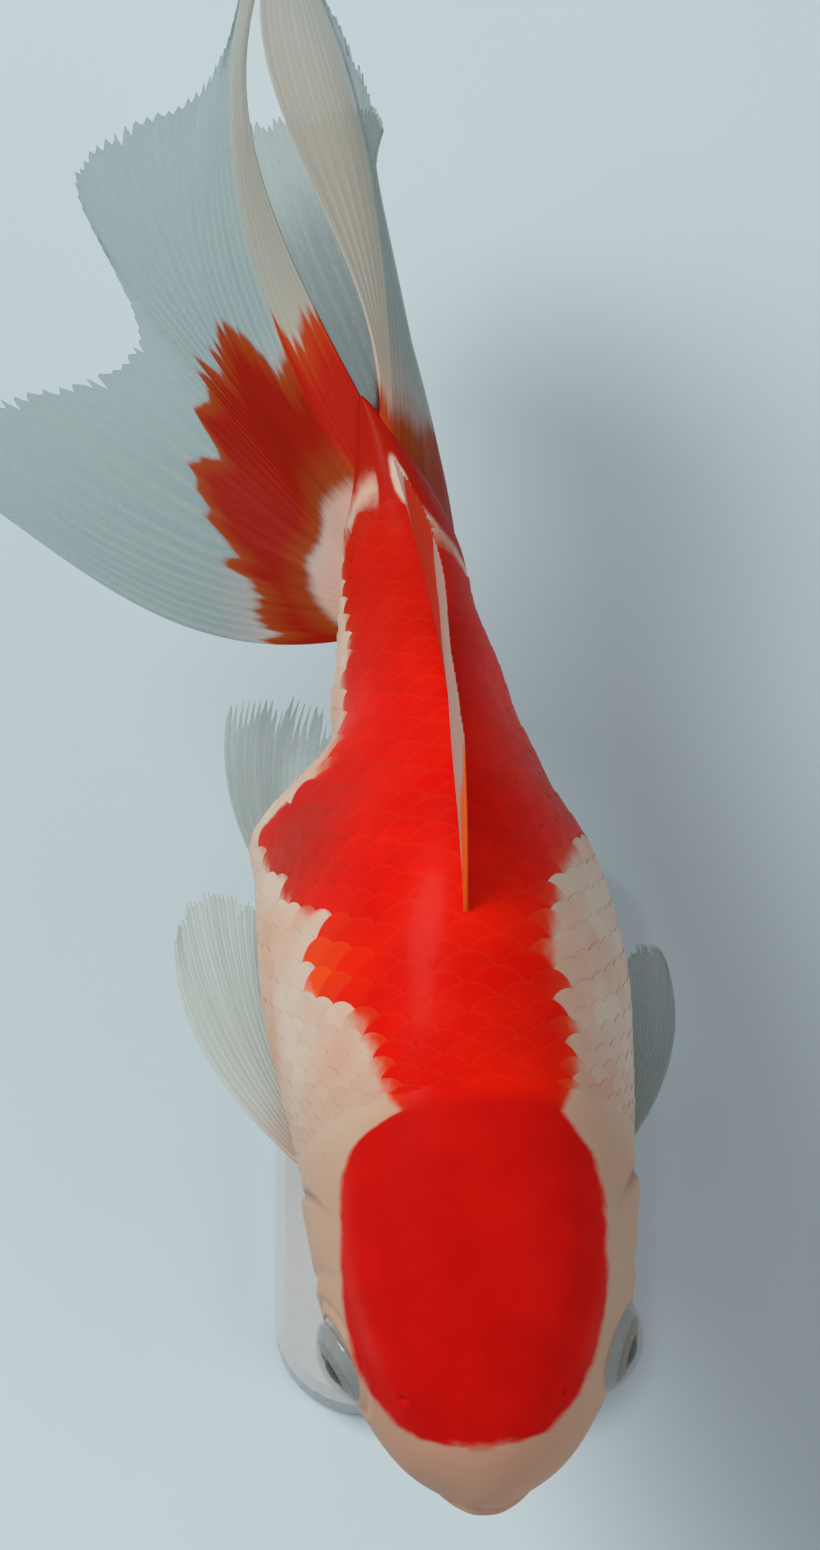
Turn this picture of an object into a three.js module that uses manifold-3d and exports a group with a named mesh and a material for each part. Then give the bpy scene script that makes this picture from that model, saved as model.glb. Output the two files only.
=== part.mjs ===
// A life-size display model of a twin-tailed goldfish, swimming, held over a flat base by two short rods.
// Units are millimetres and +Z is up. The fish swims towards -Y. The origin is the middle of the base's underside.
import * as THREE from "three";
import { mergeVertices } from "three/addons/utils/BufferGeometryUtils.js";
import Module from "manifold-3d";

const wasm = await Module();
wasm.setup();

// ---------------------------------------------------------------- driving dimensions
const BODY_LENGTH = 125; // snout to the end of the tail stalk
const AXIS_HEIGHT = 68; // height of the body's axis over the table
const SNOUT = new THREE.Vector2(4.8, -62); // the snout's place in plan
const HEADING = [2.4, 6.1, 20, 58]; // the spine's turn towards -X in degrees, before and after its bend
const BANK = [10, 35, 105]; // degrees the back leans towards +X, and where along the spine the twist runs
const GAP = 0.3; // clearance between neighbouring pieces

const HEAD_TOP_END = 32.5; // where the head ends on the nape, along the spine
const HEAD_SIDE_END = 40; // at the gill opening
const HEAD_THROAT_END = 28;
const STALK_START = 99;
const ROUND_SEGMENTS = 36;

const EYE_RADIUS = 4.8;
const EYE = { along: 17.6, across: 13.4, up: 1.6 };

const GILL_COVER = { along: 30, reach: 7.4, middle: -5, spread: 40, thick: 1.6 };
const MOUTH = { line: -2.8, foot: -8.6, half: 4.8, depth: 4.6 };

const BASE = { length: 76, width: 42, height: 8, corner: 10, bevel: 1.2 };
const ROD_RADIUS = 2;
const ROD_STATIONS = [46, 78];

// ---------------------------------------------------------------- the body's shape
// Sections along the spine: distance from the snout, then the heights of the back, the belly and the
// widest line over the axis, the half-width there, and how square the upper half is (2 is an ellipse).
const SECTIONS = [
  [0, -1.2, -4.2, -2.6, 1.0, 2.0],
  [1, 2.4, -7.0, -2.5, 3.5, 2.1],
  [5, 8.2, -11.2, -2.4, 9.3, 2.3],
  [10, 12.4, -14.2, -2.3, 12.9, 2.4],
  [17, 16.6, -17.8, -2.2, 15.9, 2.5],
  [26, 20.7, -22.0, -2.5, 18.2, 2.5],
  [38, 24.6, -26.4, -3.5, 19.2, 2.3],
  [50, 27.4, -29.6, -5.0, 20.6, 2.0],
  [62, 28.6, -31.2, -7.0, 21.7, 1.85],
  [74, 27.0, -31.0, -9.5, 20.9, 1.7],
  [84, 23.8, -28.4, -12.0, 18.2, 1.6],
  [92, 20.4, -23.0, -9.0, 13.3, 1.7],
  [100, 16.8, -15.6, -4.0, 10.9, 1.8],
  [110, 12.8, -10.6, 0.0, 7.6, 1.85],
  [118, 10.9, -9.4, 0.8, 5.8, 2.0],
  [BODY_LENGTH, 10.4, -9.4, 0.8, 4.4, 2.0],
];
const [TOP, BELLY, WIDEST, HALF_WIDTH, SQUARENESS] = [1, 2, 3, 4, 5];

// Inside the bend the right flank swells, then folds in behind the belly, and the left one is drawn in a
// little: place, reach and size of each swelling, which is largest a little under mid-side.
const FLANK_BULGE = {
  right: [
    [85.8, 5.1, 2.4],
    [93.8, 5.1, -3.2],
    [102, 3.9, -1.1],
  ],
  left: [
    [83, 5, -2.6],
    [103, 5, -1.6],
  ],
};
const FLANK_DROP = Math.PI * 0.08;

// A monotone cubic through one column of the sections. It runs on the square root of the distance,
// so that the snout comes out round.
function sectionValue(column, along) {
  const t = Math.sqrt(THREE.MathUtils.clamp(along, 0, BODY_LENGTH));
  const x = SECTIONS.map((row) => Math.sqrt(row[0]));
  const y = SECTIONS.map((row) => row[column]);
  const slope = (i) => (y[i + 1] - y[i]) / (x[i + 1] - x[i]);
  const tangent = (i) => {
    if (i === 0) return slope(0);
    if (i === x.length - 1) return slope(i - 1);
    const [a, b] = [slope(i - 1), slope(i)];
    return a * b <= 0 ? 0 : (2 * a * b) / (a + b);
  };
  let i = x.findIndex((value, k) => k > 0 && t <= value) - 1;
  if (i < 0) i = x.length - 2;
  const h = x[i + 1] - x[i];
  const f = (t - x[i]) / h;
  const [g, k] = [f * f, f * f * f];
  return (
    (2 * k - 3 * g + 1) * y[i] +
    (k - 2 * g + f) * h * tangent(i) +
    (3 * g - 2 * k) * y[i + 1] +
    (k - g) * h * tangent(i + 1)
  );
}

// The spine is a plan curve with one soft bend in it. SPINE holds a point for every millimetre.
function headingAt(along) {
  const [before, after, start, end] = HEADING;
  const turn = before + (after - before) * THREE.MathUtils.smoothstep(along, start, end);
  return THREE.MathUtils.degToRad(turn);
}

const SPINE = [new THREE.Vector3(SNOUT.x, SNOUT.y, 0)];
while (SPINE.length <= BODY_LENGTH) {
  const heading = headingAt(SPINE.length - 0.5);
  SPINE.push(SPINE.at(-1).clone().add(new THREE.Vector3(-Math.sin(heading), Math.cos(heading), 0)));
}

function spineFrame(along) {
  const heading = headingAt(along);
  const bank = THREE.MathUtils.degToRad(BANK[0]) * THREE.MathUtils.smoothstep(along, BANK[1], BANK[2]);
  const side = new THREE.Vector3(Math.cos(heading), Math.sin(heading), 0);
  const up = new THREE.Vector3(0, 0, 1);
  const step = THREE.MathUtils.clamp(Math.floor(along), 0, BODY_LENGTH - 1);
  return {
    origin: SPINE[step].clone().lerp(SPINE[step + 1], along - step),
    side: side.clone().multiplyScalar(Math.cos(bank)).addScaledVector(up, -Math.sin(bank)),
    up: up.clone().multiplyScalar(Math.cos(bank)).addScaledVector(side, Math.sin(bank)),
  };
}

function atSpine(along, across, height) {
  const frame = spineFrame(along);
  return frame.origin.clone().addScaledVector(frame.side, across).addScaledVector(frame.up, height);
}

// A point on the body. angle 0 is the fish's left side (+X), 90 degrees its back and -90 its belly.
function bodyPoint(along, angle, grow = 0) {
  const widest = sectionValue(WIDEST, along);
  const rise = sectionValue(TOP, along) - widest;
  const drop = widest - sectionValue(BELLY, along);
  const [c, s] = [Math.cos(angle), Math.sin(angle)];
  const power = s > 0 ? 2 / sectionValue(SQUARENESS, along) : 2 / 2.1;
  const [side, turn] = c < 0 ? ["right", -FLANK_DROP] : ["left", FLANK_DROP];
  const bulge = FLANK_BULGE[side].map(([at, reach, size]) => size * Math.exp(-(((along - at) / reach) ** 2)));
  const swell = bulge.reduce((sum, part) => sum + part, 0) * Math.cos(angle + turn) ** 2;
  const across = (sectionValue(HALF_WIDTH, along) + grow + swell) * Math.sign(c) * Math.abs(c) ** power;
  const height = ((s > 0 ? rise : drop) + grow) * Math.sign(s) * Math.abs(s) ** power;
  return atSpine(along, across, widest + height);
}

// ---------------------------------------------------------------- solids
function geometryOf(points, triangles) {
  const geometry = new THREE.BufferGeometry();
  const flat = new Float32Array(points.flatMap((p) => [p.x, p.y, p.z]));
  geometry.setAttribute("position", new THREE.BufferAttribute(flat, 3));
  geometry.setIndex(triangles);
  return geometry;
}

function solidOf(geometry) {
  geometry.deleteAttribute("normal");
  geometry.deleteAttribute("uv");
  const merged = mergeVertices(geometry, 1e-4);
  return new wasm.Manifold(
    new wasm.Mesh({
      numProp: 3,
      vertProperties: new Float32Array(merged.attributes.position.array),
      triVerts: new Uint32Array(merged.index.array),
    }),
  );
}

// Closes a stack of rings into a solid, with a fan on a point at each end.
function lofted(rings, first, last) {
  const n = rings[0].length;
  const points = [...rings.flat(), first, last];
  const [firstIndex, lastIndex] = [points.length - 2, points.length - 1];
  const triangles = [];
  for (let j = 0; j < n; j++) {
    const k = (j + 1) % n;
    triangles.push(firstIndex, k, j);
    const row = (rings.length - 1) * n;
    triangles.push(lastIndex, row + j, row + k);
    for (let i = 0; i < rings.length - 1; i++) {
      const [a, b] = [i * n, (i + 1) * n];
      triangles.push(a + j, a + k, b + k, a + j, b + k, b + j);
    }
  }
  const solid = solidOf(geometryOf(points, triangles));
  return solid.volume() > 0 ? solid : solidOf(geometryOf(points, triangles.reverse()));
}

// A length of the body. from and to give the distance along the spine at each angle.
function bodyLength(from, to, steps, grow = 0) {
  const angles = Array.from({ length: ROUND_SEGMENTS }, (_, j) => (2 * Math.PI * j) / ROUND_SEGMENTS);
  const rings = [];
  for (let i = 0; i <= steps; i++)
    rings.push(
      angles.map((angle) => {
        const share = from(angle) <= 0 ? (i / steps) ** 1.7 : i / steps;
        return bodyPoint(THREE.MathUtils.lerp(from(angle), to(angle), share), angle, grow);
      }),
    );
  const middle = (ring) =>
    ring.reduce((sum, p) => sum.add(p), new THREE.Vector3()).divideScalar(ring.length);
  return lofted(rings, middle(rings[0]), middle(rings.at(-1)));
}

const largest = (solid) =>
  solid.decompose().reduce((best, part) => (part.volume() > best.volume() ? part : best));

// The head ends along the gill opening, which bows back at mid-side.
function headEnd(angle) {
  const edge = Math.sin(angle) > 0 ? HEAD_TOP_END : HEAD_THROAT_END;
  return edge + (HEAD_SIDE_END - edge) * Math.abs(Math.cos(angle)) ** 1.5;
}

// A rounded plate that follows the head's side, between two depths under its surface.
function gillCover(side, outer, inner, margin) {
  const [across, around] = [4, 20];
  const place = (radius, turn, grow) => {
    const [c, s] = [Math.cos(turn), Math.sin(turn)];
    const a = Math.sign(c) * Math.abs(c) ** 0.85;
    const b = Math.sign(s) * Math.abs(s) ** 0.85;
    const along = GILL_COVER.along + (GILL_COVER.reach + margin) * radius * a;
    const spread = GILL_COVER.spread + margin * 3;
    const tilt = THREE.MathUtils.degToRad(GILL_COVER.middle + spread * radius * b);
    return bodyPoint(along, side > 0 ? tilt : Math.PI - tilt, grow);
  };
  const turns = Array.from({ length: around }, (_, j) => (2 * Math.PI * j) / around);
  const rings = [];
  for (let i = 1; i <= across; i++) rings.push(turns.map((turn) => place(i / across, turn, outer)));
  for (let i = across; i >= 1; i--) rings.push(turns.map((turn) => place(i / across, turn, inner)));
  return lofted(rings, place(0, 0, outer), place(0, 0, inner));
}

function eyeBall(side, radius) {
  const ball = new THREE.SphereGeometry(radius, 16, 10);
  ball.rotateX(Math.PI / 2);
  const place = atSpine(EYE.along, side * EYE.across, EYE.up);
  ball.translate(place.x, place.y, place.z);
  return solidOf(ball);
}

function boxSolid(low, high) {
  const size = high.clone().sub(low);
  const box = new THREE.BoxGeometry(size.x, size.y, size.z);
  const middle = low.clone().add(high).multiplyScalar(0.5);
  return solidOf(box.translate(middle.x, middle.y, middle.z));
}

// ---------------------------------------------------------------- fins
// A fin is a surface through a few of its rays. Each is four points from root to tip, evenly spaced;
// bowed() gives them for a ray that is a plain curve.
const v = (x, y, z) => new THREE.Vector3(x, y, z);
const bowed = (root, tip, bow) =>
  [0, 1 / 3, 2 / 3, 1].map((w) => root.clone().lerp(tip, w).addScaledVector(bow, 4 * w * (1 - w)));
const onBack = (along) => atSpine(along, 0, sectionValue(TOP, along) - 1.6);

const FINS = {
  // From the steep upper edge, past the fold at the second ray, to the fork at the fifth and the lower edge.
  tail_fin_right: {
    rays: [
      [v(-8, 60.4, 7), v(-17.1, 84.4, 11), v(-23.3, 107.2, 13), v(-19.6, 131.3, 14)],
      [v(-9.6, 60, 5.5), v(-21, 84, 8), v(-25.4, 107.9, 9), v(-23, 132.3, 10)],
      [v(-10.3, 57.2, 4), v(-24.8, 78.9, 2.5), v(-30.2, 97.7, 2.5), v(-29.3, 115.2, 4)],
      [v(-10.5, 54.4, 1.5), v(-25.2, 73.8, -1), v(-37.5, 90.9, -2), v(-45.5, 105.5, 0)],
      [v(-10.3, 51.7, -1.5), v(-21.6, 63.7, -3), v(-30.6, 73.8, -4), v(-38.1, 82.2, -4)],
      [v(-9.9, 48.3, -4.5), v(-28.8, 54.3, -7), v(-45.1, 64, -9), v(-60, 76.1, -9)],
      [v(-9.1, 44.9, -6.5), v(-28.7, 46.7, -10), v(-44.7, 56.3, -12.5), v(-60.9, 68.9, -14)],
    ],
    thick: [1.4, 0.7],
    grid: [20, 8],
  },
  // The other half trails behind, folded under along the second ray and bellied out towards +X.
  tail_fin_left: {
    rays: [
      [v(-4.4, 61.2, 8.6), v(-10.5, 82.1, 15), v(-19.1, 101.8, 21), v(-20.4, 122.7, 25)],
      [v(-3, 61, 6.5), v(-7.2, 83.5, 11.5), v(-10.6, 104.1, 15), v(-17, 125.4, 18)],
      [v(-2.2, 59.5, 4.2), v(-4.8, 80.1, 5.5), v(-7.7, 99.4, 5), v(-11.3, 120.2, 4)],
      [v(-1.6, 56.8, 1.5), v(-3.1, 78, 0), v(-7.3, 97.5, -2), v(-7.6, 113, -4)],
      [v(-1.1, 53.9, -1.6), v(-2.1, 76.3, -5), v(-7.6, 97.7, -8), v(-8.7, 119.9, -11)],
      [v(-1.4, 51.1, -4.4), v(-3.6, 76.3, -10), v(-11.2, 100.6, -15), v(-17.5, 124.4, -20)],
      [v(-2.8, 48.9, -6.4), v(-11.1, 75.7, -14), v(-21.1, 101.5, -21), v(-26.5, 125.3, -27)],
    ],
    thick: [1.4, 0.7],
    grid: [17, 8],
  },
  dorsal_fin: {
    rays: [
      bowed(onBack(59.5), v(2, 13.2, 44), v(0.3, -1.4, 0.6)),
      bowed(onBack(69), v(0.9, 25, 40.5), v(0.3, -1, 0.6)),
      bowed(onBack(79), v(-0.5, 36.5, 34.5), v(0.3, 0, 0.6)),
      bowed(onBack(89), v(-2.9, 47, 28), v(0.3, 0, 0.6)),
      bowed(onBack(98), v(-6, 55.9, 22), v(0.2, 0, 0.4)),
    ],
    thick: [1.8, 0.8],
    grid: [13, 5],
  },
  pectoral_fin_right: {
    rays: [
      bowed(v(-14.6, -21.5, -12), v(-32.3, 9.6, -17), v(-4.6, 0, 0)),
      bowed(v(-14.4, -20.5, -13.2), v(-31.2, 14.8, -19), v(-3, 0, -0.5)),
      bowed(v(-14, -19.5, -14.4), v(-27, 17.3, -21), v(-2.5, 0, -1)),
      bowed(v(-13.6, -18.5, -15.6), v(-23, 16, -23), v(-2.5, 0, -1)),
      bowed(v(-13, -17.5, -16.8), v(-20.5, 8, -25), v(-3, 0, -1)),
    ],
    thick: [1.4, 0.7],
    grid: [9, 7],
  },
  pectoral_fin_left: {
    rays: [
      bowed(v(18.4, -21.5, -12), v(27.4, 7.7, -21), v(4, 0, 0)),
      bowed(v(18.2, -20.5, -13.2), v(26.4, 10.8, -23), v(3.4, 0, -0.5)),
      bowed(v(17.8, -19.5, -14.4), v(24.4, 12, -25), v(3, 0, -1)),
      bowed(v(17.4, -18.5, -15.6), v(22.5, 10, -27), v(2.8, 0, -1)),
      bowed(v(16.8, -17.5, -16.8), v(20.5, 4, -28), v(2.8, 0, -1)),
    ],
    thick: [1.4, 0.7],
    grid: [9, 7],
  },
  pelvic_fin_right: {
    rays: [
      bowed(v(-12.2, 8, -26), v(-26.6, 46, -31), v(-5.4, 0, 0)),
      bowed(v(-11.4, 9.5, -26.8), v(-22.5, 48, -32.5), v(-5, 0, -1)),
      bowed(v(-10.6, 11, -27.4), v(-18, 48, -34), v(-5, 0, -1.5)),
      bowed(v(-9.8, 12.5, -27.8), v(-14, 46, -35), v(-3, 0, -1.5)),
      bowed(v(-9, 14, -28), v(-10.5, 38, -35), v(-2, 0, -1)),
    ],
    thick: [1.4, 0.7],
    grid: [8, 6],
  },
  pelvic_fin_left: {
    rays: [
      bowed(v(5.6, 8, -28.6), v(8, 43, -37), v(4, 0, -1)),
      bowed(v(4.8, 9.5, -29), v(5.5, 46, -39.5), v(3, 0, -2)),
      bowed(v(4, 11, -29.2), v(2.5, 46, -41.5), v(2, 0, -2)),
      bowed(v(3.2, 12.5, -29.3), v(0, 43.5, -42.5), v(1, 0, -2)),
      bowed(v(2.4, 14, -29.2), v(-1.4, 36, -41), v(0, 0, -2)),
    ],
    thick: [1.4, 0.7],
    grid: [8, 6],
  },
  anal_fin_right: {
    rays: [
      bowed(v(-7.2, 31, -21.4), v(-11.5, 50, -33), v(-1, 0, -1)),
      bowed(v(-7.1, 33, -19.8), v(-12, 54, -30), v(-1.5, 0, -1)),
      bowed(v(-7, 35, -18), v(-12, 55.5, -26), v(-1.5, 0, -1)),
      bowed(v(-6.9, 37, -16.2), v(-11, 54, -21), v(-1, 0, -0.5)),
    ],
    thick: [1.4, 0.7],
    grid: [6, 5],
  },
  anal_fin_left: {
    rays: [
      bowed(v(-4.8, 31, -21.4), v(-0.5, 49, -33), v(1, 0, -1)),
      bowed(v(-4.7, 33, -19.8), v(0, 53, -30), v(1.5, 0, -1)),
      bowed(v(-4.6, 35, -18), v(-0.5, 55, -26), v(1.5, 0, -1)),
      bowed(v(-4.5, 37, -16.2), v(-2, 54, -21), v(1, 0, -0.5)),
    ],
    thick: [1.4, 0.7],
    grid: [6, 5],
  },
};

// A point on a fin: u runs over the rays and w from root to tip.
function finSurface(rays) {
  const curves = [0, 1, 2, 3].map(
    (k) => new THREE.CatmullRomCurve3(rays.map((points) => points[k]), false, "catmullrom", 0.5),
  );
  return (u, w) => {
    const t = 3 * w;
    const share = [
      -((t - 1) * (t - 2) * (t - 3)) / 6,
      (t * (t - 2) * (t - 3)) / 2,
      (-t * (t - 1) * (t - 3)) / 2,
      (t * (t - 1) * (t - 2)) / 6,
    ];
    return curves.reduce((sum, c, k) => sum.addScaledVector(c.getPoint(u), share[k]), v(0, 0, 0));
  };
}

function finSolid({ rays, thick, grid }) {
  const at = finSurface(rays);
  const [columns, rows] = grid;
  const normalAt = (u, w) => {
    const step = 0.01;
    const along = at(u, Math.min(1, w + step)).sub(at(u, Math.max(0, w - step)));
    const over = at(Math.min(1, u + step), w).sub(at(Math.max(0, u - step), w));
    return along.cross(over).normalize();
  };
  const face = (side) => {
    const points = [];
    for (let i = 0; i <= columns; i++)
      for (let j = 0; j <= rows; j++) {
        const [u, w] = [i / columns, j / rows];
        const half = THREE.MathUtils.lerp(thick[0], thick[1], w) / 2;
        points.push(at(u, w).addScaledVector(normalAt(u, w), side * half));
      }
    return points;
  };
  const count = (columns + 1) * (rows + 1);
  const index = (i, j, back) => i * (rows + 1) + j + (back ? count : 0);
  const triangles = [];
  const quad = (a, b, c, d) => triangles.push(a, b, c, a, c, d);
  for (let i = 0; i < columns; i++)
    for (let j = 0; j < rows; j++) {
      quad(index(i, j), index(i + 1, j), index(i + 1, j + 1), index(i, j + 1));
      quad(index(i, j, 1), index(i, j + 1, 1), index(i + 1, j + 1, 1), index(i + 1, j, 1));
    }
  for (let i = 0; i < columns; i++) {
    quad(index(i, 0), index(i, 0, 1), index(i + 1, 0, 1), index(i + 1, 0));
    quad(index(i + 1, rows), index(i + 1, rows, 1), index(i, rows, 1), index(i, rows));
  }
  for (let j = 0; j < rows; j++) {
    quad(index(0, j + 1), index(0, j + 1, 1), index(0, j, 1), index(0, j));
    quad(index(columns, j), index(columns, j, 1), index(columns, j + 1, 1), index(columns, j + 1));
  }
  const points = [...face(1), ...face(-1)];
  const solid = solidOf(geometryOf(points, triangles));
  return solid.volume() > 0 ? solid : solidOf(geometryOf(points, [...triangles].reverse()));
}

// ---------------------------------------------------------------- the stand
function standBase() {
  const [x, y, r] = [BASE.width / 2 - BASE.bevel, BASE.length / 2 - BASE.bevel, BASE.corner];
  const outline = new THREE.Shape();
  outline.moveTo(x - r, -y);
  outline.absarc(x - r, r - y, r, -Math.PI / 2, 0);
  outline.absarc(x - r, y - r, r, 0, Math.PI / 2);
  outline.absarc(r - x, y - r, r, Math.PI / 2, Math.PI);
  outline.absarc(r - x, r - y, r, Math.PI, 1.5 * Math.PI);
  outline.closePath();
  const plate = new THREE.ExtrudeGeometry(outline, {
    depth: BASE.height - 2 * BASE.bevel,
    bevelSize: BASE.bevel,
    bevelThickness: BASE.bevel,
    bevelSegments: 1,
    curveSegments: 4,
  });
  return solidOf(plate.translate(0, 0, BASE.bevel - AXIS_HEIGHT));
}

function standRod(along) {
  const foot = BASE.height - AXIS_HEIGHT + GAP;
  const top = atSpine(along, 0, sectionValue(BELLY, along));
  const length = top.z + 3 - foot;
  const rod = new THREE.CylinderGeometry(ROD_RADIUS, ROD_RADIUS, length, 16);
  rod.rotateX(Math.PI / 2).translate(top.x, top.y, foot + length / 2);
  return solidOf(rod);
}

// ---------------------------------------------------------------- the pieces
const COLOURS = {
  red: [0xc21708, 0.35],
  white: [0xcdbfae, 0.4],
  fin: [0xb9c0ba, 0.45],
  eye: [0x15131a, 0.15],
  base: [0x4b4744, 0.6],
  rod: [0xa9abad, 0.3],
};

const solids = {};
const colourOf = {};
function add(name, colour, solid) {
  solids[name] = largest(solid);
  colourOf[name] = colour;
}

const wholeBody = bodyLength(() => 0, () => BODY_LENGTH, 70, GAP);
const eyes = [1, -1].map((side) => eyeBall(side, EYE_RADIUS));
const sockets = [1, -1].map((side) => eyeBall(side, EYE_RADIUS + GAP));

const jawLow = v(SNOUT.x - MOUTH.half, SNOUT.y - 5, MOUTH.foot);
const jawHigh = v(SNOUT.x + MOUTH.half, SNOUT.y + MOUTH.depth, MOUTH.line);
const jawBox = boxSolid(jawLow, jawHigh);
const jawCut = boxSolid(jawLow.clone().subScalar(GAP), jawHigh.clone().addScalar(GAP));

const wholeHead = bodyLength(() => 0, headEnd, 14);
let head = wholeHead.subtract(jawCut).subtract(sockets[0]).subtract(sockets[1]);
for (const side of [1, -1]) head = head.subtract(gillCover(side, 1, -GILL_COVER.thick - GAP, GAP));

add("head", "red", head);
add("lower_jaw", "white", wholeHead.intersect(jawBox));
add("gill_cover_left", "white", gillCover(1, 0, -GILL_COVER.thick, 0));
add("gill_cover_right", "white", gillCover(-1, 0, -GILL_COVER.thick, 0));
add("eye_left", "eye", eyes[0]);
add("eye_right", "eye", eyes[1]);
add("trunk", "red", bodyLength((a) => headEnd(a) + GAP, () => STALK_START, 14));
add("tail_stalk", "red", bodyLength(() => STALK_START + GAP, () => BODY_LENGTH, 6));
for (const [name, fin] of Object.entries(FINS)) add(name, "fin", finSolid(fin).subtract(wholeBody));
add("stand_base", "base", standBase());
ROD_STATIONS.forEach((along, i) =>
  add(["stand_rod_front", "stand_rod_rear"][i], "rod", standRod(along).subtract(wholeBody)),
);

const fish = new THREE.Group();
fish.position.z = AXIS_HEIGHT;
for (const [name, solid] of Object.entries(solids)) {
  const mesh = solid.getMesh();
  const geometry = new THREE.BufferGeometry();
  geometry.setAttribute("position", new THREE.BufferAttribute(mesh.vertProperties, 3));
  geometry.setIndex(new THREE.BufferAttribute(mesh.triVerts, 1));
  geometry.computeVertexNormals();
  const [color, roughness] = COLOURS[colourOf[name]];
  const material = new THREE.MeshStandardMaterial({ color, roughness, metalness: 0 });
  const part = new THREE.Mesh(geometry, material);
  part.name = name;
  fish.add(part);
}

const model = new THREE.Group();
model.add(fish);

export default model;
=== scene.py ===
# %% [markdown]
# # A goldfish over its CAD solids
# This file builds the looks of a display model of a goldfish, seen as it swims. The solids made in CAD give
# the size, the bend of the body and the place of each fin. Here one skin takes the place of the solids of
# flesh, thin scales are laid over it, and each fin becomes a membrane with rays. Everything is worked out
# from the same few measures as the solids, so skin, scales and fins fit each other.

# %% Load the solids
import math

import bpy
import numpy as np
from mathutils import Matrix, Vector


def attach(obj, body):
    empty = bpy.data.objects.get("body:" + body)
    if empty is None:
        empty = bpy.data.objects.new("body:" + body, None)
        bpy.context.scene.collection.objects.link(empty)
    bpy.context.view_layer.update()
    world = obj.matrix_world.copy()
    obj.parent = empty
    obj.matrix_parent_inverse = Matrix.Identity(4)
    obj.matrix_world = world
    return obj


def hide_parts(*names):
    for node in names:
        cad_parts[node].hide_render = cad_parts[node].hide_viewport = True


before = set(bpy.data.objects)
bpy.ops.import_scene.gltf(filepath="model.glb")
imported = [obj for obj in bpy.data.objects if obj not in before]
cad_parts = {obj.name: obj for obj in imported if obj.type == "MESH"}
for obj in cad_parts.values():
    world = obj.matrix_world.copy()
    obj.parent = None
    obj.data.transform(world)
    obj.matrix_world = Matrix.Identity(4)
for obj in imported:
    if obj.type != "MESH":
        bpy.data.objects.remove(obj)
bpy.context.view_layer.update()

# %% [markdown]
# ## Small helpers
# A mesh can be shaped by hand, vertex by vertex, or by a formula that places every vertex at once. An
# animal's body is all formula here, so a primitive gives the grid of vertices, and these helpers read and
# move them. The measures are in millimetres, as a fish is measured, and turn into metres when they reach a
# mesh.

# %% Helpers for meshes
MM = 0.001
AXIS_HEIGHT = 68.0
chance = np.random.default_rng(7)


def only(piece):
    """Makes one piece the selected and active one."""
    bpy.ops.object.select_all(action="DESELECT")
    piece.select_set(True)
    bpy.context.view_layer.objects.active = piece


def read_points(piece):
    """The piece's own points, one row for each vertex."""
    flat = np.empty(len(piece.data.vertices) * 3)
    piece.data.vertices.foreach_get("co", flat)
    return flat.reshape(-1, 3)


def place_points(piece, points):
    """Puts the vertices at these points of the fish, in millimetres from its axis."""
    lifted = np.asarray(points) + np.array([0.0, 0.0, AXIS_HEIGHT])
    piece.data.vertices.foreach_set("co", (lifted * MM).ravel())
    piece.data.update()


def keep_values(piece, **fields):
    """Stores one number for each vertex under each name, which a material can read."""
    for name, values in fields.items():
        layer = piece.data.attributes.new(name, "FLOAT", "POINT")
        values = np.broadcast_to(values, len(piece.data.vertices))
        layer.data.foreach_set("value", values.astype(np.float32))


def read_values(piece, name):
    values = np.empty(len(piece.data.vertices), dtype=np.float32)
    piece.data.attributes[name].data.foreach_get("value", values)
    return values


def thicken(piece, thickness, offset, group=""):
    """Turns a sheet into a solid. A group of vertices can say where it is thinner."""
    only(piece)
    solid = piece.modifiers.new("Thickness", "SOLIDIFY")
    solid.thickness, solid.offset, solid.vertex_group = thickness, offset, group
    bpy.ops.object.modifier_apply(modifier=solid.name)


def smooth_step(value, start, end):
    """0 up to the start, 1 from the end on, with a soft S between. The end may be the lower one."""
    part = np.clip((value - start) / (end - start), 0, 1)
    return part * part * (3 - 2 * part)


def hump(value, centre, reach):
    """1 at the centre, falling off smoothly to both sides."""
    return np.exp(-(((value - centre) / reach) ** 2))


def waves(*coordinates, scale=1.0, seed=0):
    """A smooth random field between about -1 and 1, summed from a few waves of different directions."""
    picker = np.random.default_rng(seed)
    total = 0.0
    for octave in range(3):
        for _ in range(4):
            direction = picker.normal(size=len(coordinates))
            direction *= 2.0**octave * scale / np.linalg.norm(direction)
            phase = picker.uniform(0, 2 * math.pi)
            total = total + np.sin(sum(c * d for c, d in zip(coordinates, direction)) + phase) / 2.0**octave
    return total / 4.0


# %% [markdown]
# ## The measures of the body
# A fish is a line of cross-sections strung on its backbone. Each row below gives one section: how far along
# it is, its top and belly, where it is widest, how wide it is to each side, and how square its back is. A
# smooth curve runs through them. The backbone bends to one side as the tail beats, and the back leans with
# it.

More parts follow.
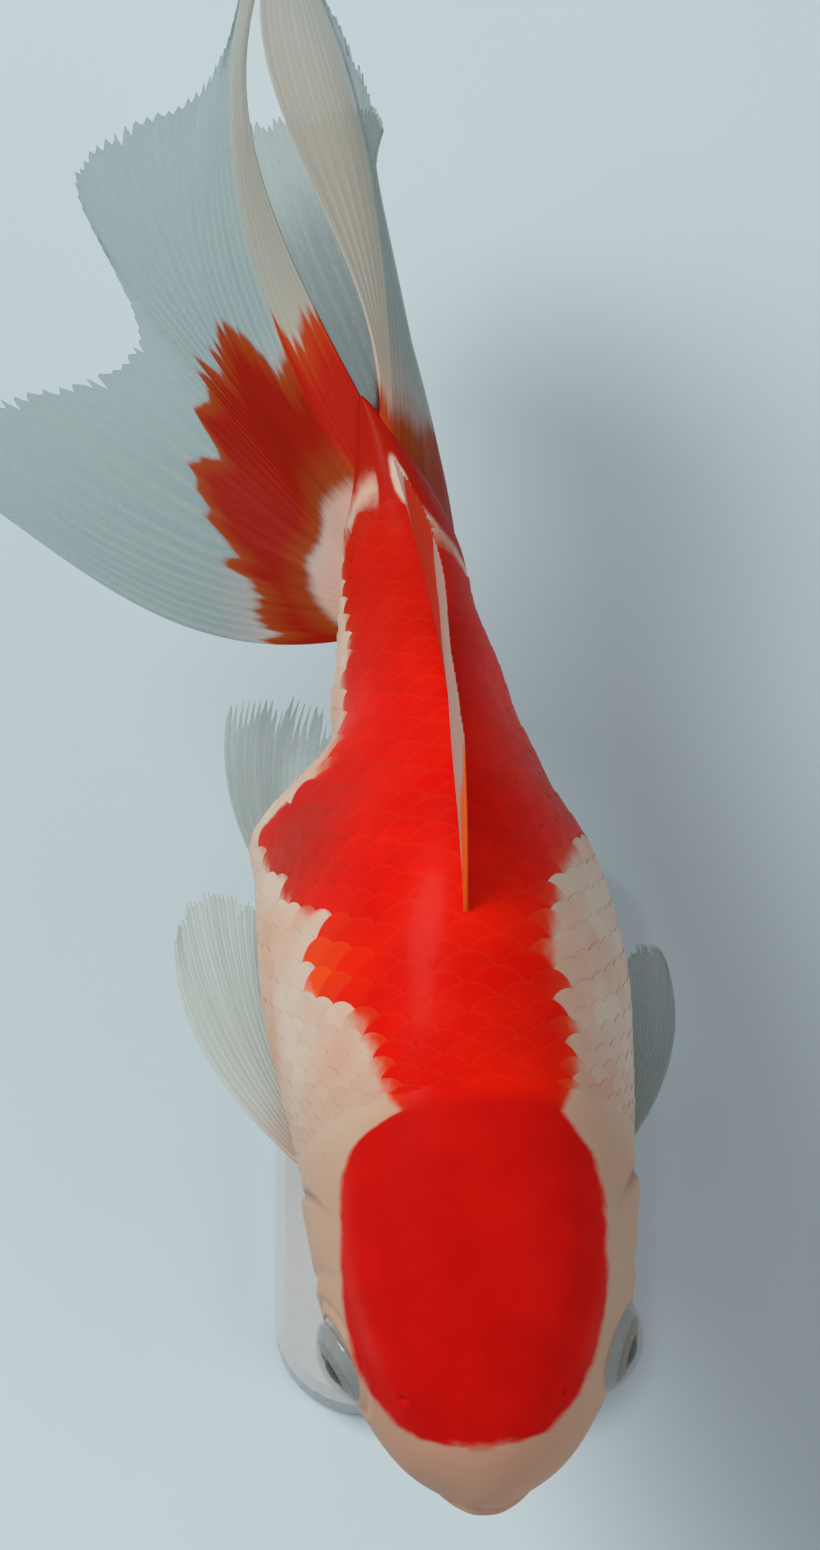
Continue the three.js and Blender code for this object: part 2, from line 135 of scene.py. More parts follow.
# %% Sections and backbone
BODY_LENGTH = 125.0
SNOUT = (4.8, -62.0)
HEADING_BEFORE, HEADING_AFTER = 2.4, 6.1
BEND_START, BEND_END = 20.0, 58.0
BANK, BANK_START, BANK_END = 10.0, 35.0, 105.0
SECTIONS = np.array([
    [0, -1.2, -4.2, -2.6, 1.0, 2.0],
    [1, 2.4, -7.0, -2.5, 3.5, 2.1],
    [5, 8.2, -11.2, -2.4, 9.3, 2.3],
    [10, 12.4, -14.2, -2.3, 12.9, 2.4],
    [17, 16.6, -17.8, -2.2, 15.9, 2.5],
    [26, 20.7, -22.0, -2.5, 18.2, 2.5],
    [38, 24.6, -26.4, -3.5, 19.2, 2.3],
    [50, 27.4, -29.6, -5.0, 20.6, 2.0],
    [62, 28.6, -31.2, -7.0, 21.7, 1.85],
    [74, 27.0, -31.0, -9.5, 20.9, 1.7],
    [84, 23.8, -28.4, -12.0, 18.2, 1.6],
    [92, 20.4, -23.0, -9.0, 13.3, 1.7],
    [100, 16.8, -15.6, -4.0, 10.9, 1.8],
    [110, 12.8, -10.6, 0.0, 7.6, 1.85],
    [118, 10.9, -9.4, 0.8, 5.8, 2.0],
    [BODY_LENGTH, 10.4, -9.4, 0.8, 4.4, 2.0],
])
TOP, BELLY, WIDEST, HALF_WIDTH, SQUARENESS = 1, 2, 3, 4, 5
BELLY_ROUNDNESS = 2.1
# Where a flank swells or falls in beside the even section: (distance from the snout, reach, size).
RIGHT_FLANK = [(85.8, 5.1, 2.4), (93.8, 5.1, -3.2), (102.0, 3.9, -1.1)]
LEFT_FLANK = [(83.0, 5.0, -2.6), (103.0, 5.0, -1.6)]
FLANK_DROP = math.pi * 0.08
PROBE_ALONG, PROBE_TURN = 0.3, math.radians(0.7)


def section(column, along):
    """A measure of the section at this distance from the snout, on a smooth curve through the rows above."""
    x, y = np.sqrt(SECTIONS[:, 0]), SECTIONS[:, column]
    place = np.sqrt(np.clip(along, 0, BODY_LENGTH))
    slopes = np.diff(y) / np.diff(x)
    before, after = slopes[:-1], slopes[1:]
    turns = before * after <= 0
    inner = np.where(turns, 0, 2 * before * after / np.where(turns, 1, before + after))
    tangents = np.concatenate([slopes[:1], inner, slopes[-1:]])
    i = np.clip(np.searchsorted(x, place) - 1, 0, len(x) - 2)
    step = x[i + 1] - x[i]
    f = (place - x[i]) / step
    f2, f3 = f * f, f * f * f
    ends = (2 * f3 - 3 * f2 + 1) * y[i] + (3 * f2 - 2 * f3) * y[i + 1]
    return ends + step * ((f3 - 2 * f2 + f) * tangents[i] + (f3 - f2) * tangents[i + 1])


def heading(along):
    """Where the backbone points here: straight ahead at the head, turned aside behind the bend."""
    turn = (HEADING_AFTER - HEADING_BEFORE) * smooth_step(along, BEND_START, BEND_END)
    return np.radians(HEADING_BEFORE + turn)


def backbone():
    """Points of the backbone, one for each millimetre, walked from the snout."""
    points = [np.array(SNOUT)]
    while len(points) <= BODY_LENGTH:
        h = heading(len(points) - 0.5)
        points.append(points[-1] + np.array([-math.sin(h), math.cos(h)]))
    return np.array(points)


BACKBONE = backbone()


def spine_frame(along):
    """The point on the backbone, the direction to the fish's left and the direction of its back."""
    along = np.asarray(along, float)
    h = heading(along)
    bank = np.radians(BANK) * smooth_step(along, BANK_START, BANK_END)
    left = np.stack([np.cos(h), np.sin(h), np.zeros_like(h)], -1)
    up = np.zeros_like(left)
    up[..., 2] = 1
    i = np.clip(np.floor(along), 0, BODY_LENGTH - 1).astype(int)
    part = (along - i)[..., None]
    flat = BACKBONE[i] * (1 - part) + BACKBONE[i + 1] * part
    origin = np.concatenate([flat, np.zeros(flat.shape[:-1] + (1,))], -1)
    lean, rise = np.cos(bank)[..., None], np.sin(bank)[..., None]
    return origin, left * lean - up * rise, up * lean + left * rise


def at_spine(along, across, height):
    """The point this far to the left of the backbone and above it."""
    origin, left, up = spine_frame(along)
    return origin + left * np.asarray(across)[..., None] + up * np.asarray(height)[..., None]


def flank_swell(flank, along):
    return sum(size * hump(along, at, reach) for at, reach, size in flank)


def body_point(along, angle, grow=0.0):
    """A point of the body's surface. Angle 0 is the fish's left side, 90 degrees its back, 180 its right."""
    along, angle = np.broadcast_arrays(np.asarray(along, float), np.asarray(angle, float))
    widest = section(WIDEST, along)
    c, s = np.cos(angle), np.sin(angle)
    power = np.where(s > 0, 2 / section(SQUARENESS, along), 2 / BELLY_ROUNDNESS)
    right, left = flank_swell(RIGHT_FLANK, along), flank_swell(LEFT_FLANK, along)
    swell = np.where(c < 0, right * np.cos(angle - FLANK_DROP) ** 2, left * np.cos(angle + FLANK_DROP) ** 2)
    across = (section(HALF_WIDTH, along) + grow + swell) * np.sign(c) * np.abs(c) ** power
    reach = np.where(s > 0, section(TOP, along) - widest, widest - section(BELLY, along)) + grow
    return at_spine(along, across, widest + reach * np.sign(s) * np.abs(s) ** power)


def body_normal(along, angle):
    """The direction straight out of the body's surface."""
    further = body_point(np.clip(along + PROBE_ALONG, 0, BODY_LENGTH), angle)
    nearer = body_point(np.clip(along - PROBE_ALONG, 0, BODY_LENGTH), angle)
    round_it = body_point(along, angle + PROBE_TURN) - body_point(along, angle - PROBE_TURN)
    out = np.cross(round_it, further - nearer)
    return -out / np.maximum(np.linalg.norm(out, axis=-1, keepdims=True), 1e-9)


probe = body_point(62.0, np.radians([0.0, 90.0, 180.0]))
print("widest section:", probe.round(1).tolist())
print("outward at the back:", body_normal(62.0, math.radians(90)).round(2).tolist())

# %% [markdown]
# ## The markings
# The colour of a goldfish lies in its skin, as one large red field with a lobed edge over white. The edge
# could be painted on an image, but a formula stays sharp at any size and can be shared by skin and scales.
# Each side's edge is a short list of points, distance from the snout against angle round the body. From it
# comes a field in millimetres: above zero is red, below zero is white.

# %% The edge of the red field
SNOUT_EDGE = 4.9
LEFT_EDGE = [
    (4.8, 88), (5.2, 70), (6.5, 51), (10.2, 39), (15, 36), (20, 38), (26, 43), (31.2, 44), (35, 50),
    (37.2, 57), (38.7, 62), (41, 57), (43, 54), (47.5, 54.5), (51.5, 58), (54.2, 58.5), (56, 61.5),
    (61.2, 60.5), (65, 58), (68, 53), (71, 44), (74, 40), (76, 22), (79, 2), (84, -8), (92, -14),
    (100, -16), (110, -30), (125, -50),
]
RIGHT_EDGE = [
    (4.8, 98), (5.3, 115), (6.3, 131), (8, 144), (12.2, 154), (17.5, 153), (23.5, 145.5), (28.5, 141),
    (34, 138), (37, 132), (38.6, 121), (39.6, 111.5), (43.2, 118), (47.5, 122), (51.2, 126.5),
    (53.6, 131), (55, 139), (58.2, 144), (61.5, 144), (64, 140), (66, 143), (68, 148.5), (72, 154.5),
    (75.8, 160), (79, 167), (81.5, 171), (83.4, 169), (84.3, 154), (85.5, 142), (89, 144), (94, 154),
    (99, 157), (103, 153), (106, 164), (112, 176), (118, 192), (125, 205),
]
# Spots and patches: (distance from the snout, angle, reach).
PALE_GAP = (64.8, 137.0, 1.5)
PALE_PATCH = (117.4, 94.0, 2.0)
ORANGE_SPOT = (59.0, 141.0, 4.2)
RUSTY_FLANK = (77.0, 152.0, 8.5)
# Painted shade: the red of the left flank, the side turned from the main light, is darkened.
SHADED_LEFT_FLANK = (79.0, 38.0, 9.0)
GAP_DEPTH, PATCH_STRENGTH, PATCH_LEVEL = 3.2, 4.5, 0.45
NAPE = 39.3
# Where the tail's halves leave the stalk, with a pale band along it: (angle, distance from the snout).
LEFT_ROOT = [(-60, 105), (-30, 107), (10, 109), (46, 111.2), (61, 112.8), (76, 114.5), (95, 116.8)]
RIGHT_ROOT = [(118, 117.3), (150, 117.2), (175, 116.2), (205, 113.5)]
PALE_BAND, ROOT_SLANT, BAND_FADE = 0.55, 0.7, 9
BY_PLACE, BY_SCALE = 0.45, 0.55


def edge_at(edge, place):
    """Where an edge runs here, on straight lines from point to point of its list."""
    return np.interp(place, *np.array(edge).T)


def mean_radius(along):
    return (section(HALF_WIDTH, along) + section(TOP, along)) / 2


def near_spot(along, angle, spot):
    """1 at a spot's middle, falling off over its reach in millimetres."""
    at, degrees, reach = spot
    aside = (angle - degrees) * math.pi / 180 * mean_radius(along)
    return np.exp(-((along - at) ** 2 + aside**2) / reach**2)


def past_left_root(along, degrees):
    """Millimetres behind the line where the tail's left half leaves the stalk."""
    return ROOT_SLANT * (along - edge_at(LEFT_ROOT, degrees))


def red_field(along, degrees):
    """Millimetres inside the red, or below zero outside it."""
    per_degree = np.maximum(mean_radius(along), 4.0) * math.pi / 180
    left = (degrees - edge_at(LEFT_EDGE, along)) * per_degree
    right = (edge_at(RIGHT_EDGE, along) - degrees) * per_degree
    field = np.minimum(np.minimum(left, right), along - SNOUT_EDGE)
    field = field - GAP_DEPTH * near_spot(along, degrees, PALE_GAP)
    patch = near_spot(along, degrees, PALE_PATCH)
    field = np.minimum(field, PATCH_STRENGTH * (PATCH_LEVEL - patch) + 3 * smooth_step(patch, 0.25, 0))
    past_right_root = along - edge_at(RIGHT_ROOT, degrees)
    from_hook = ROOT_SLANT * np.abs(past_right_root) - PALE_BAND
    field = np.minimum(field, from_hook + BAND_FADE * smooth_step(degrees, 128, 112))
    from_band = np.abs(past_left_root(along, degrees)) - PALE_BAND + BAND_FADE * smooth_step(degrees, 92, 106)
    return np.minimum(field, from_band)


def keep_markings(piece, along, degrees, scale_along=None, scale_degrees=None):
    """Stores the fields that colours are mixed by. A scale is coloured partly by the place of its middle."""
    field = red_field(along, degrees)
    if scale_along is not None:
        field = BY_PLACE * field + BY_SCALE * red_field(scale_along, scale_degrees)
        along, degrees = scale_along, scale_degrees
    behind = np.where(degrees < 100, smooth_step(past_left_root(along, degrees), 0.2, 0.9), 0)
    # Painted shade: the red darkens toward the tail.
    shade_toward_tail = 0.45 * smooth_step(along, 88, 103) + 0.55 * smooth_step(along, 111, 121)
    keep_values(
        piece,
        red=field,
        cap=smooth_step(along, NAPE + 2.4, NAPE - 1.0),
        cheek=smooth_step(along, 52, 33),
        orange=near_spot(along, degrees, ORANGE_SPOT),
        rust=near_spot(along, degrees, RUSTY_FLANK) + near_spot(along, degrees, SHADED_LEFT_FLANK),
        tail=np.maximum(behind, shade_toward_tail),
    )


print("red at the crown:", round(float(red_field(25.0, 90.0)), 1), "mm inside its edge")

# %% [markdown]
# ## The skin
# One skin covers head, jaw, gill covers, trunk and tail stalk, so no seam shows between them. A sphere is
# the nearest primitive to a closed body with two ends: its top pole becomes the snout, its bottom pole the
# end of the stalk, its rings the cross-sections. More rings go to the head, where the fine shapes are.
# Behind the head the skin lies a third of a millimetre deep, under the scales.

# %% A sphere drawn out into the body
SKIN_SEGMENTS, SKIN_RINGS = 256, 340
RING_CROWDING = 0.35
HEAD_DEPTH, SCALE_DEPTH = 0.05, 0.34
FORK = np.array([-9.9, 69.6, 10.2])
WEDGE_START, WEDGE_POWER = 112.0, 1.8
NAPE_START = 38.6


def along_of_ring(part):
    """Distance from the snout of a ring, for a part of 0 at the snout and 1 at the tail."""
    return BODY_LENGTH * (1 + RING_CROWDING) * part**2 / (part + RING_CROWDING)


def tail_flare(along, degrees):
    """Toward its end the stalk widens a little into the fleshy roots of the tail fins."""
    return 1.0 * smooth_step(along, 105, 117) * np.abs(np.cos(np.radians(degrees))) ** 1.5


def toward_fork(points, along):
    """The end of the stalk narrows into a wedge of flesh that runs out into the fork of the tail."""
    share = np.clip((along - WEDGE_START) / (BODY_LENGTH - WEDGE_START), 0, 1) ** WEDGE_POWER
    return points + (FORK - points) * share[..., None]


def ring_of_along(along):
    """The other way round, looked up in a table of the rings."""
    parts = np.linspace(0, 1, 2001)
    return np.interp(along, along_of_ring(parts), parts)


def scales_begin(degrees):
    """How far back the scales begin at this angle: latest at the nape, first at the throat."""
    height = np.sin(np.radians(degrees))
    return np.where(height > 0, NAPE_START + 0.8 * height**2, NAPE_START + 6.0 * height)


bpy.ops.object.select_all(action="DESELECT")
bpy.ops.mesh.primitive_uv_sphere_add(segments=SKIN_SEGMENTS, ring_count=SKIN_RINGS, radius=1.0)
skin = bpy.context.object
skin.name = "skin"
sphere = read_points(skin)
skin_part = np.arccos(np.clip(sphere[:, 2], -1, 1)) / math.pi
skin_along = along_of_ring(skin_part)
skin_degrees = np.degrees(np.arctan2(sphere[:, 1], sphere[:, 0]))
skin_degrees = np.where(skin_degrees < -90, skin_degrees + 360, skin_degrees)
ragged = 0.9 * waves(skin_degrees * 0.12, skin_along * 0.3, seed=5)
under_scales = smooth_step(skin_along - scales_begin(skin_degrees) + ragged, -0.5, 5.0)
skin_grow = -HEAD_DEPTH - (SCALE_DEPTH - HEAD_DEPTH) * under_scales + tail_flare(skin_along, skin_degrees)
skin_points = body_point(skin_along, np.radians(skin_degrees), skin_grow)
skin_out = body_normal(skin_along, np.radians(skin_degrees))
print("skin:", len(skin.data.vertices), "vertices in", SKIN_RINGS, "rings")

# %% [markdown]
# ## The head
# The shapes that tell a live head from a smooth bullet are small: the lips round a mouth at the very tip, a
# nostril with its flap before each eye, the fold round the eye, the cheek, and the gill cover that ends in
# a free edge over the shoulder. They could be carved one by one, but each is a simple rise or groove along
# the skin, so each is a short function of where a vertex is, and they are added up and pushed along the
# surface's own outward direction.

# %% Mouth and lips
MOUTH_HEIGHT, MOUTH_HALF_WIDTH, MOUTH_CURVE = -5.5, 4.0, 0.08
LIP_MIDDLE, LIP_REACH, LIP_RISE = 1.15, 0.62, 0.44
LIP_FOLD, FOLD_REACH, FOLD_DEPTH = 2.35, 0.5, 0.2
MOUTH_DEPTH, MOUTH_HALF_GAP = 1.5, 0.42

snout = spine_frame(0.0)[0]
forward = np.array([math.sin(heading(0.0)), -math.cos(heading(0.0)), 0.0])
leftward = spine_frame(0.0)[1]


def mouth_relief(points):
    """A roll of lip runs right round the mouth, which curves down at its corners. A fold sets the lip off."""
    back = -(points - snout) @ forward
    aside = np.abs((points - snout) @ leftward)
    above = points[:, 2] - MOUTH_HEIGHT + MOUTH_CURVE * aside**2
    away = np.hypot(np.maximum(aside - MOUTH_HALF_WIDTH, 0), above)
    near = smooth_step(back, 9.0, 6.0)
    lips = LIP_RISE * hump(away, LIP_MIDDLE, LIP_REACH) * (1 - 0.5 * smooth_step(aside, 3.0, 5.2))
    fold = FOLD_DEPTH * hump(away, LIP_FOLD, FOLD_REACH) * (0.4 + 0.6 * smooth_step(above, -1.0, 1.0))
    gap = near * hump(away, 0.0, MOUTH_HALF_GAP)
    return near * (lips - fold) - MOUTH_DEPTH * gap, gap


print("mouth:", 2 * MOUTH_HALF_WIDTH, "mm wide,", MOUTH_HEIGHT, "mm from the axis")

# %% Nostrils, eye folds and canals of the forehead
NOSTRIL_ALONG, NOSTRIL_SPREAD = 10.2, 40.0
NOSTRIL_RADIUS, NOSTRIL_DEPTH = 0.42, 0.45
FLAP_RADIUS, FLAP_WIDTH, FLAP_RISE = 0.95, 0.4, 0.05
EYE_ALONG, EYE_ACROSS, EYE_UP = 17.6, 13.4, 1.6
EYE_RIM, EYE_RIM_RISE, EYE_HOLLOW = 5.15, 0.28, 2.4
EYE_SET_AHEAD, EYE_SET_UP = 18.0, 4.0
CANAL_ANGLE, CANAL_RISE, CHANNEL_DEPTH = 46, 0.16, 0.12
SIDES = (1, -1)


def nostril_relief(points):
    """A pit on each side of the snout, with a flap that stands higher along its front."""
    relief = np.zeros(len(points))
    for side in SIDES:
        place = body_point(NOSTRIL_ALONG, math.radians(90 - side * NOSTRIL_SPREAD))
        away = points - place
        far = np.linalg.norm(away, axis=1)
        ahead = away @ forward
        relief -= NOSTRIL_DEPTH * np.exp(-((far / NOSTRIL_RADIUS) ** 3))
        relief += FLAP_RISE * hump(far, FLAP_RADIUS, FLAP_WIDTH) * (1 + 3.0 * smooth_step(ahead, -0.2, 0.9))
    return relief


def eye_centre(side):
    return at_spine(EYE_ALONG, side * EYE_ACROSS, EYE_UP)


def eye_axes(side, ahead, upward):
    """Outward direction of an eye, turned ahead and up by these degrees, and two directions across it."""
    _, left, up = spine_frame(EYE_ALONG)
    behind = np.cross(up, left)
    a, u = math.radians(ahead), math.radians(upward)
    out = (side * left * math.cos(a) - behind * math.sin(a)) * math.cos(u) + up * math.sin(u)
    first = np.cross(up, out)
    first /= np.linalg.norm(first)
    return out, first, np.cross(out, first)


def eye_relief(points):
    """The skin dips under the ball of the eye and stands up as a soft fold round it."""
    relief = np.zeros(len(points))
    for side in SIDES:
        out = eye_axes(side, EYE_SET_AHEAD, EYE_SET_UP)[0]
        away = points - eye_centre(side)
        depth = away @ out
        far = np.linalg.norm(away - depth[:, None] * out, axis=1)
        here = smooth_step(depth, -0.5, 1.0)
        fold = EYE_RIM_RISE * hump(far, EYE_RIM + 0.25, 0.6)
        ring = -0.12 * hump(far, EYE_RIM + 1.6, 0.5) + 0.10 * hump(far, EYE_RIM + 2.4, 0.6)
        relief += here * (fold + ring - EYE_HOLLOW * smooth_step(far, EYE_RIM - 0.1, EYE_RIM - 1.4))
    return relief


def canal_relief(along, degrees):
    """A soft raised line over each eye to the nape, a shallow channel between it and the crown, and its
    painted highlight.
    """
    over = smooth_step(along, 11, 16) * smooth_step(along, 37, 31)
    from_back = np.abs(degrees - 90)
    line = CANAL_ANGLE + 4 * np.sin((along - 12) / 24 * math.pi)
    raised = CANAL_RISE * hump(from_back, line, 5.0) - CHANNEL_DEPTH * hump(from_back, line - 11, 6.0)
    return over * raised, over * hump(from_back, line, 4.5)


print("eyes:", round(float(np.linalg.norm(eye_centre(1) - eye_centre(-1))), 1), "mm apart")

# %% Gill covers and cheeks
COVER_MIDDLE, COVER_SPREAD, COVER_EDGE = -14.0, 56.0, 38.2
COVER_RISE, COVER_STEP = 0.36, 0.24
CHEEK_EDGE, CHEEK_GROOVE, CHEEK_RISE, COVER_RAYS = 27.5, 0.3, 0.14, 0.05


def cover_relief(along, degrees):
    """Each gill cover swells toward its rear edge, then drops. Also where painted shade darkens its slot."""
    aside = np.where(degrees > 90, 180 - degrees, degrees)
    lift = (aside - COVER_MIDDLE) / COVER_SPREAD
    here = smooth_step(np.abs(lift), 0.95, 0.45)
    edge = COVER_EDGE - 9.5 * lift**2 - 1.5 * lift
    past = along - edge
    plate = smooth_step(past, -11, -1.2) * smooth_step(past, 0.25, -0.3) * COVER_RISE
    slot = COVER_STEP * hump(past, 0.5, 0.5)
    past_cheek = along - (CHEEK_EDGE - 6 * lift**2)
    cheek = CHEEK_RISE * hump(past_cheek, -1.9, 1.2) - CHEEK_GROOVE * hump(past_cheek, 0, 0.9)
    rays = COVER_RAYS * np.sin((aside + 2.2 * along) / 4.0)
    rays = rays * smooth_step(past, -9, -5) * smooth_step(past, -0.5, -2)
    return here * (plate - slot + cheek + rays), here * hump(past, 0.45, 0.45)


# %% The skin takes its shape
mouth_rise, mouth_gap = mouth_relief(skin_points)
cover_rise, cover_slot_shade = cover_relief(skin_along, skin_degrees)
relief = mouth_rise + nostril_relief(skin_points) + eye_relief(skin_points)
canal_rise, canal_highlight_band = canal_relief(skin_along, skin_degrees)
relief += canal_rise + cover_rise
relief += 0.05 * waves(*skin_points.T, scale=0.35, seed=3) * smooth_step(skin_along, 42, 34)
skin_points = skin_points + skin_out * relief[:, None]
skin_points = toward_fork(skin_points, skin_along)
tail_pole, snout_pole = poles = np.argsort(sphere[:, 2])[[0, -1]]
last_ring, first_ring = skin_part > 1 - 1.5 / SKIN_RINGS, skin_part < 1.5 / SKIN_RINGS
for pole, ring in ((tail_pole, last_ring), (snout_pole, first_ring)):
    skin_points[pole] = np.delete(skin_points[ring], 0, axis=0).mean(0)
place_points(skin, skin_points)
keep_markings(skin, skin_along, skin_degrees)
snout_tip = smooth_step(skin_along, 18, 3)
# Painted highlight: a paler band is laid along each raised line over the eyes.
# Painted shade: the mouth's gap and the slots under the gill covers are darkened, as shade falls in them.
keep_values(skin, dark=np.maximum(mouth_gap, 0.6 * cover_slot_shade), canal=canal_highlight_band, tip=snout_tip)
only(skin)
bpy.ops.object.shade_smooth()
print("relief from", round(float(relief.min()), 2), "to", round(float(relief.max()), 2), "mm")

# %% [markdown]
# ## A map for the colours
# When the model leaves Blender its procedural colours are baked on a map. The sphere's own map would do,
# but the scales have to sit on the same one, each at its own place, so the map is written out here: across
# it runs the angle round the body from the belly, and up it the rings from the tail.

# %% The skin's map
MAP_EDGE = 0.004


def map_place(along, degrees):
    """The place on the map of a point of the body."""
    across = (degrees + 90) / 360
    up = 1 - ring_of_along(along)
    return MAP_EDGE + (1 - 2 * MAP_EDGE) * np.stack([across, up], -1)


def loop_vertices(piece):
    """The vertex that each corner of each face uses."""
    indices = np.empty(len(piece.data.loops), dtype=np.int32)
    piece.data.loops.foreach_get("vertex_index", indices)
    return indices


def write_map(piece, name, places):
    """Gives the piece a UV map with this place for each corner of its faces."""
    layer = piece.data.uv_layers.get(name) or piece.data.uv_layers.new(name=name)
    layer.data.foreach_set("uv", np.asarray(places, dtype=np.float32).ravel())
    return layer


corner = loop_vertices(skin)
corner_degrees = skin_degrees[corner]
starts = np.array([p.loop_start for p in skin.data.polygons])
sizes = np.array([p.loop_total for p in skin.data.polygons])
face_of = np.repeat(np.arange(len(starts)), sizes)
at_pole = np.isin(corner, poles)
usual = np.where(at_pole, -1e3, corner_degrees)
highest = np.maximum.reduceat(usual, starts)[face_of]
crosses = (highest > 180) & (corner_degrees < 0) & ~at_pole
corner_degrees = corner_degrees + 360 * crosses
summed = np.add.reduceat(np.where(at_pole, 0, corner_degrees), starts)
mean_degrees = summed / np.add.reduceat(~at_pole * 1.0, starts)
corner_degrees = np.where(at_pole, mean_degrees[face_of], corner_degrees)
skin.data.uv_layers[0].name = "OFBake"
write_map(skin, "OFBake", map_place(skin_along[corner], corner_degrees))
print("skin map from", round(corner_degrees.min()), "to", round(corner_degrees.max()), "degrees")

# %% [markdown]
# ## The scales
# A goldfish has large thin round scales, each rooted in a pocket of skin and lying over the two behind it,
# like tiles. Only the rear third shows. One scale is modelled, as a grid rounded into a disc and given
# thickness, then copied along the rows. Each copy is wrapped on the body: its own across and along become a
# place on the skin, so it bends with the body and never stands off it. The rear edge lies higher than the
# root.

# %% One scale
SCALE_GRID = 6
SCALE_HALF_WIDTH, SCALE_HALF_LENGTH = 3.8, 2.6
SCALE_THICKNESS = 0.045

bpy.ops.object.select_all(action="DESELECT")
bpy.ops.mesh.primitive_grid_add(x_subdivisions=SCALE_GRID, y_subdivisions=SCALE_GRID, size=2)
one_scale = bpy.context.object
one_scale.name = "one_scale"
grid = read_points(one_scale)
disc_x = grid[:, 0] * np.sqrt(1 - grid[:, 1] ** 2 / 2)
disc_y = grid[:, 1] * np.sqrt(1 - grid[:, 0] ** 2 / 2)
disc_y = np.where(disc_y > 0, disc_y * (1 - 0.10 * disc_x**2), disc_y)
flat = np.stack([disc_x * SCALE_HALF_WIDTH, disc_y * SCALE_HALF_LENGTH, np.zeros(len(grid))], -1)
one_scale.data.vertices.foreach_set("co", flat.ravel())
one_scale.data.update()
thicken(one_scale, SCALE_THICKNESS, -1)
scale_shape = read_points(one_scale)
scale_faces = [list(p.vertices) for p in one_scale.data.polygons]
bpy.data.objects.remove(one_scale)
print("one scale:", len(scale_shape), "vertices,", len(scale_faces), "faces")

# %% [markdown]
# The rows are counted from the middle of the back, where they show most, and end at the belly. The distance
# round the body has to be known at every section for that, so it is measured once into a table, from which
# an angle is looked up for any distance.

# %% Distance round the body
TABLE_START, TABLE_REACH = 25, 95
TABLE_ALONG = np.linspace(TABLE_START, BODY_LENGTH, 201)
TABLE_GIRTH = np.linspace(-TABLE_REACH, TABLE_REACH, 381)
table_angles = np.radians(np.linspace(-150, 330, 961))
table_points = body_point(TABLE_ALONG[:, None], table_angles[None, :])
steps = np.linalg.norm(np.diff(table_points, axis=1), axis=2)
walked = np.concatenate([np.zeros((len(TABLE_ALONG), 1)), np.cumsum(steps, axis=1)], axis=1)
back_index = int(np.argmin(np.abs(table_angles - math.pi / 2)))
walked = walked - walked[:, back_index:back_index + 1]
angle_table = np.array([np.interp(TABLE_GIRTH, row, table_angles) for row in walked])
belly_index = int(np.argmin(np.abs(table_angles - 1.5 * math.pi)))
half_girth = walked[:, belly_index]
print("girth at the widest:", round(2 * float(half_girth.max()), 1), "mm")


def angle_at(along, girth):
    """The angle round the body of a place this far from the middle of the back, along the skin."""
    i = (np.clip(along, TABLE_START, BODY_LENGTH) - TABLE_START) / (BODY_LENGTH - TABLE_START)
    i = i * (len(TABLE_ALONG) - 1)
    j = (girth + TABLE_REACH) / (2 * TABLE_REACH) * (len(TABLE_GIRTH) - 1)
    j = np.clip(j, 0, len(TABLE_GIRTH) - 1.001)
    i0 = np.minimum(i.astype(int), len(TABLE_ALONG) - 2)
    j0 = j.astype(int)
    fi, fj = i - i0, j - j0
    near = angle_table[i0, j0] * (1 - fj) + angle_table[i0, j0 + 1] * fj
    far = angle_table[i0 + 1, j0] * (1 - fj) + angle_table[i0 + 1, j0 + 1] * fj
    return near * (1 - fi) + far * fi


# %% Rows of scales
ROW_SPACING, STALK_ROW_SPACING, RING_SPACING = 3.7, 2.7, 1.74
FIRST_RING, LAST_SCALE, SMALLEST_SCALE = 33.0, 118.0, 0.62
MIDDLE_OF_SCALE = 0.9


def size_at(along):
    """Scales are full size on the trunk and smaller at the shoulder and down the stalk."""
    stalk = 1 - (1 - STALK_ROW_SPACING / ROW_SPACING) * smooth_step(along, 78, 108)
    return stalk * (SMALLEST_SCALE + (1 - SMALLEST_SCALE) * smooth_step(along, 37, 54))


def scale_places():
    """Root places of all scales: rings half a scale apart, every other one shifted by a row."""
    places = []
    ring, along = 0, FIRST_RING
    while along < LAST_SCALE:
        size = float(size_at(along))
        reach = float(np.interp(along, TABLE_ALONG, half_girth))
        row = ROW_SPACING * size
        last = int(reach / row - 0.25)
        for k in range(-last, last + 1):
            if (k + ring) % 2 == 0:
                places.append((along, k * row, size))
        along += RING_SPACING * size
        ring += 1
    return np.array(places)


places = scale_places()
place_degrees = np.degrees(angle_at(places[:, 0], places[:, 1]))
on_body = places[:, 0] - MIDDLE_OF_SCALE > scales_begin(place_degrees)
on_body &= (past_left_root(places[:, 0], place_degrees) < -1.3) | (place_degrees > 100)
on_body &= (places[:, 0] < 115.2) | (place_degrees < 112)
places, place_degrees = places[on_body], place_degrees[on_body]
print("scales:", len(places))

# %% [markdown]
# Real scales are never quite alike. Each copy gets its own small turn, lift and tone, from one seeded
# generator so that every run gives the same fish. The coat is kept as two pieces, the fish's right and its
# left.

# %% Every scale wrapped on the body
ROOT_LIFT, EDGE_LIFT, SIDE_DROOP, ROOT_SINKS = -0.32, -0.12, 0.03, 0.12
TURN_SPREAD, LIFT_SPREAD = 0.03, 0.01
LATERAL_LINE, TUBE_RISE = -2.0, 0.12
DEGREES_PER_RADIAN = 57.3


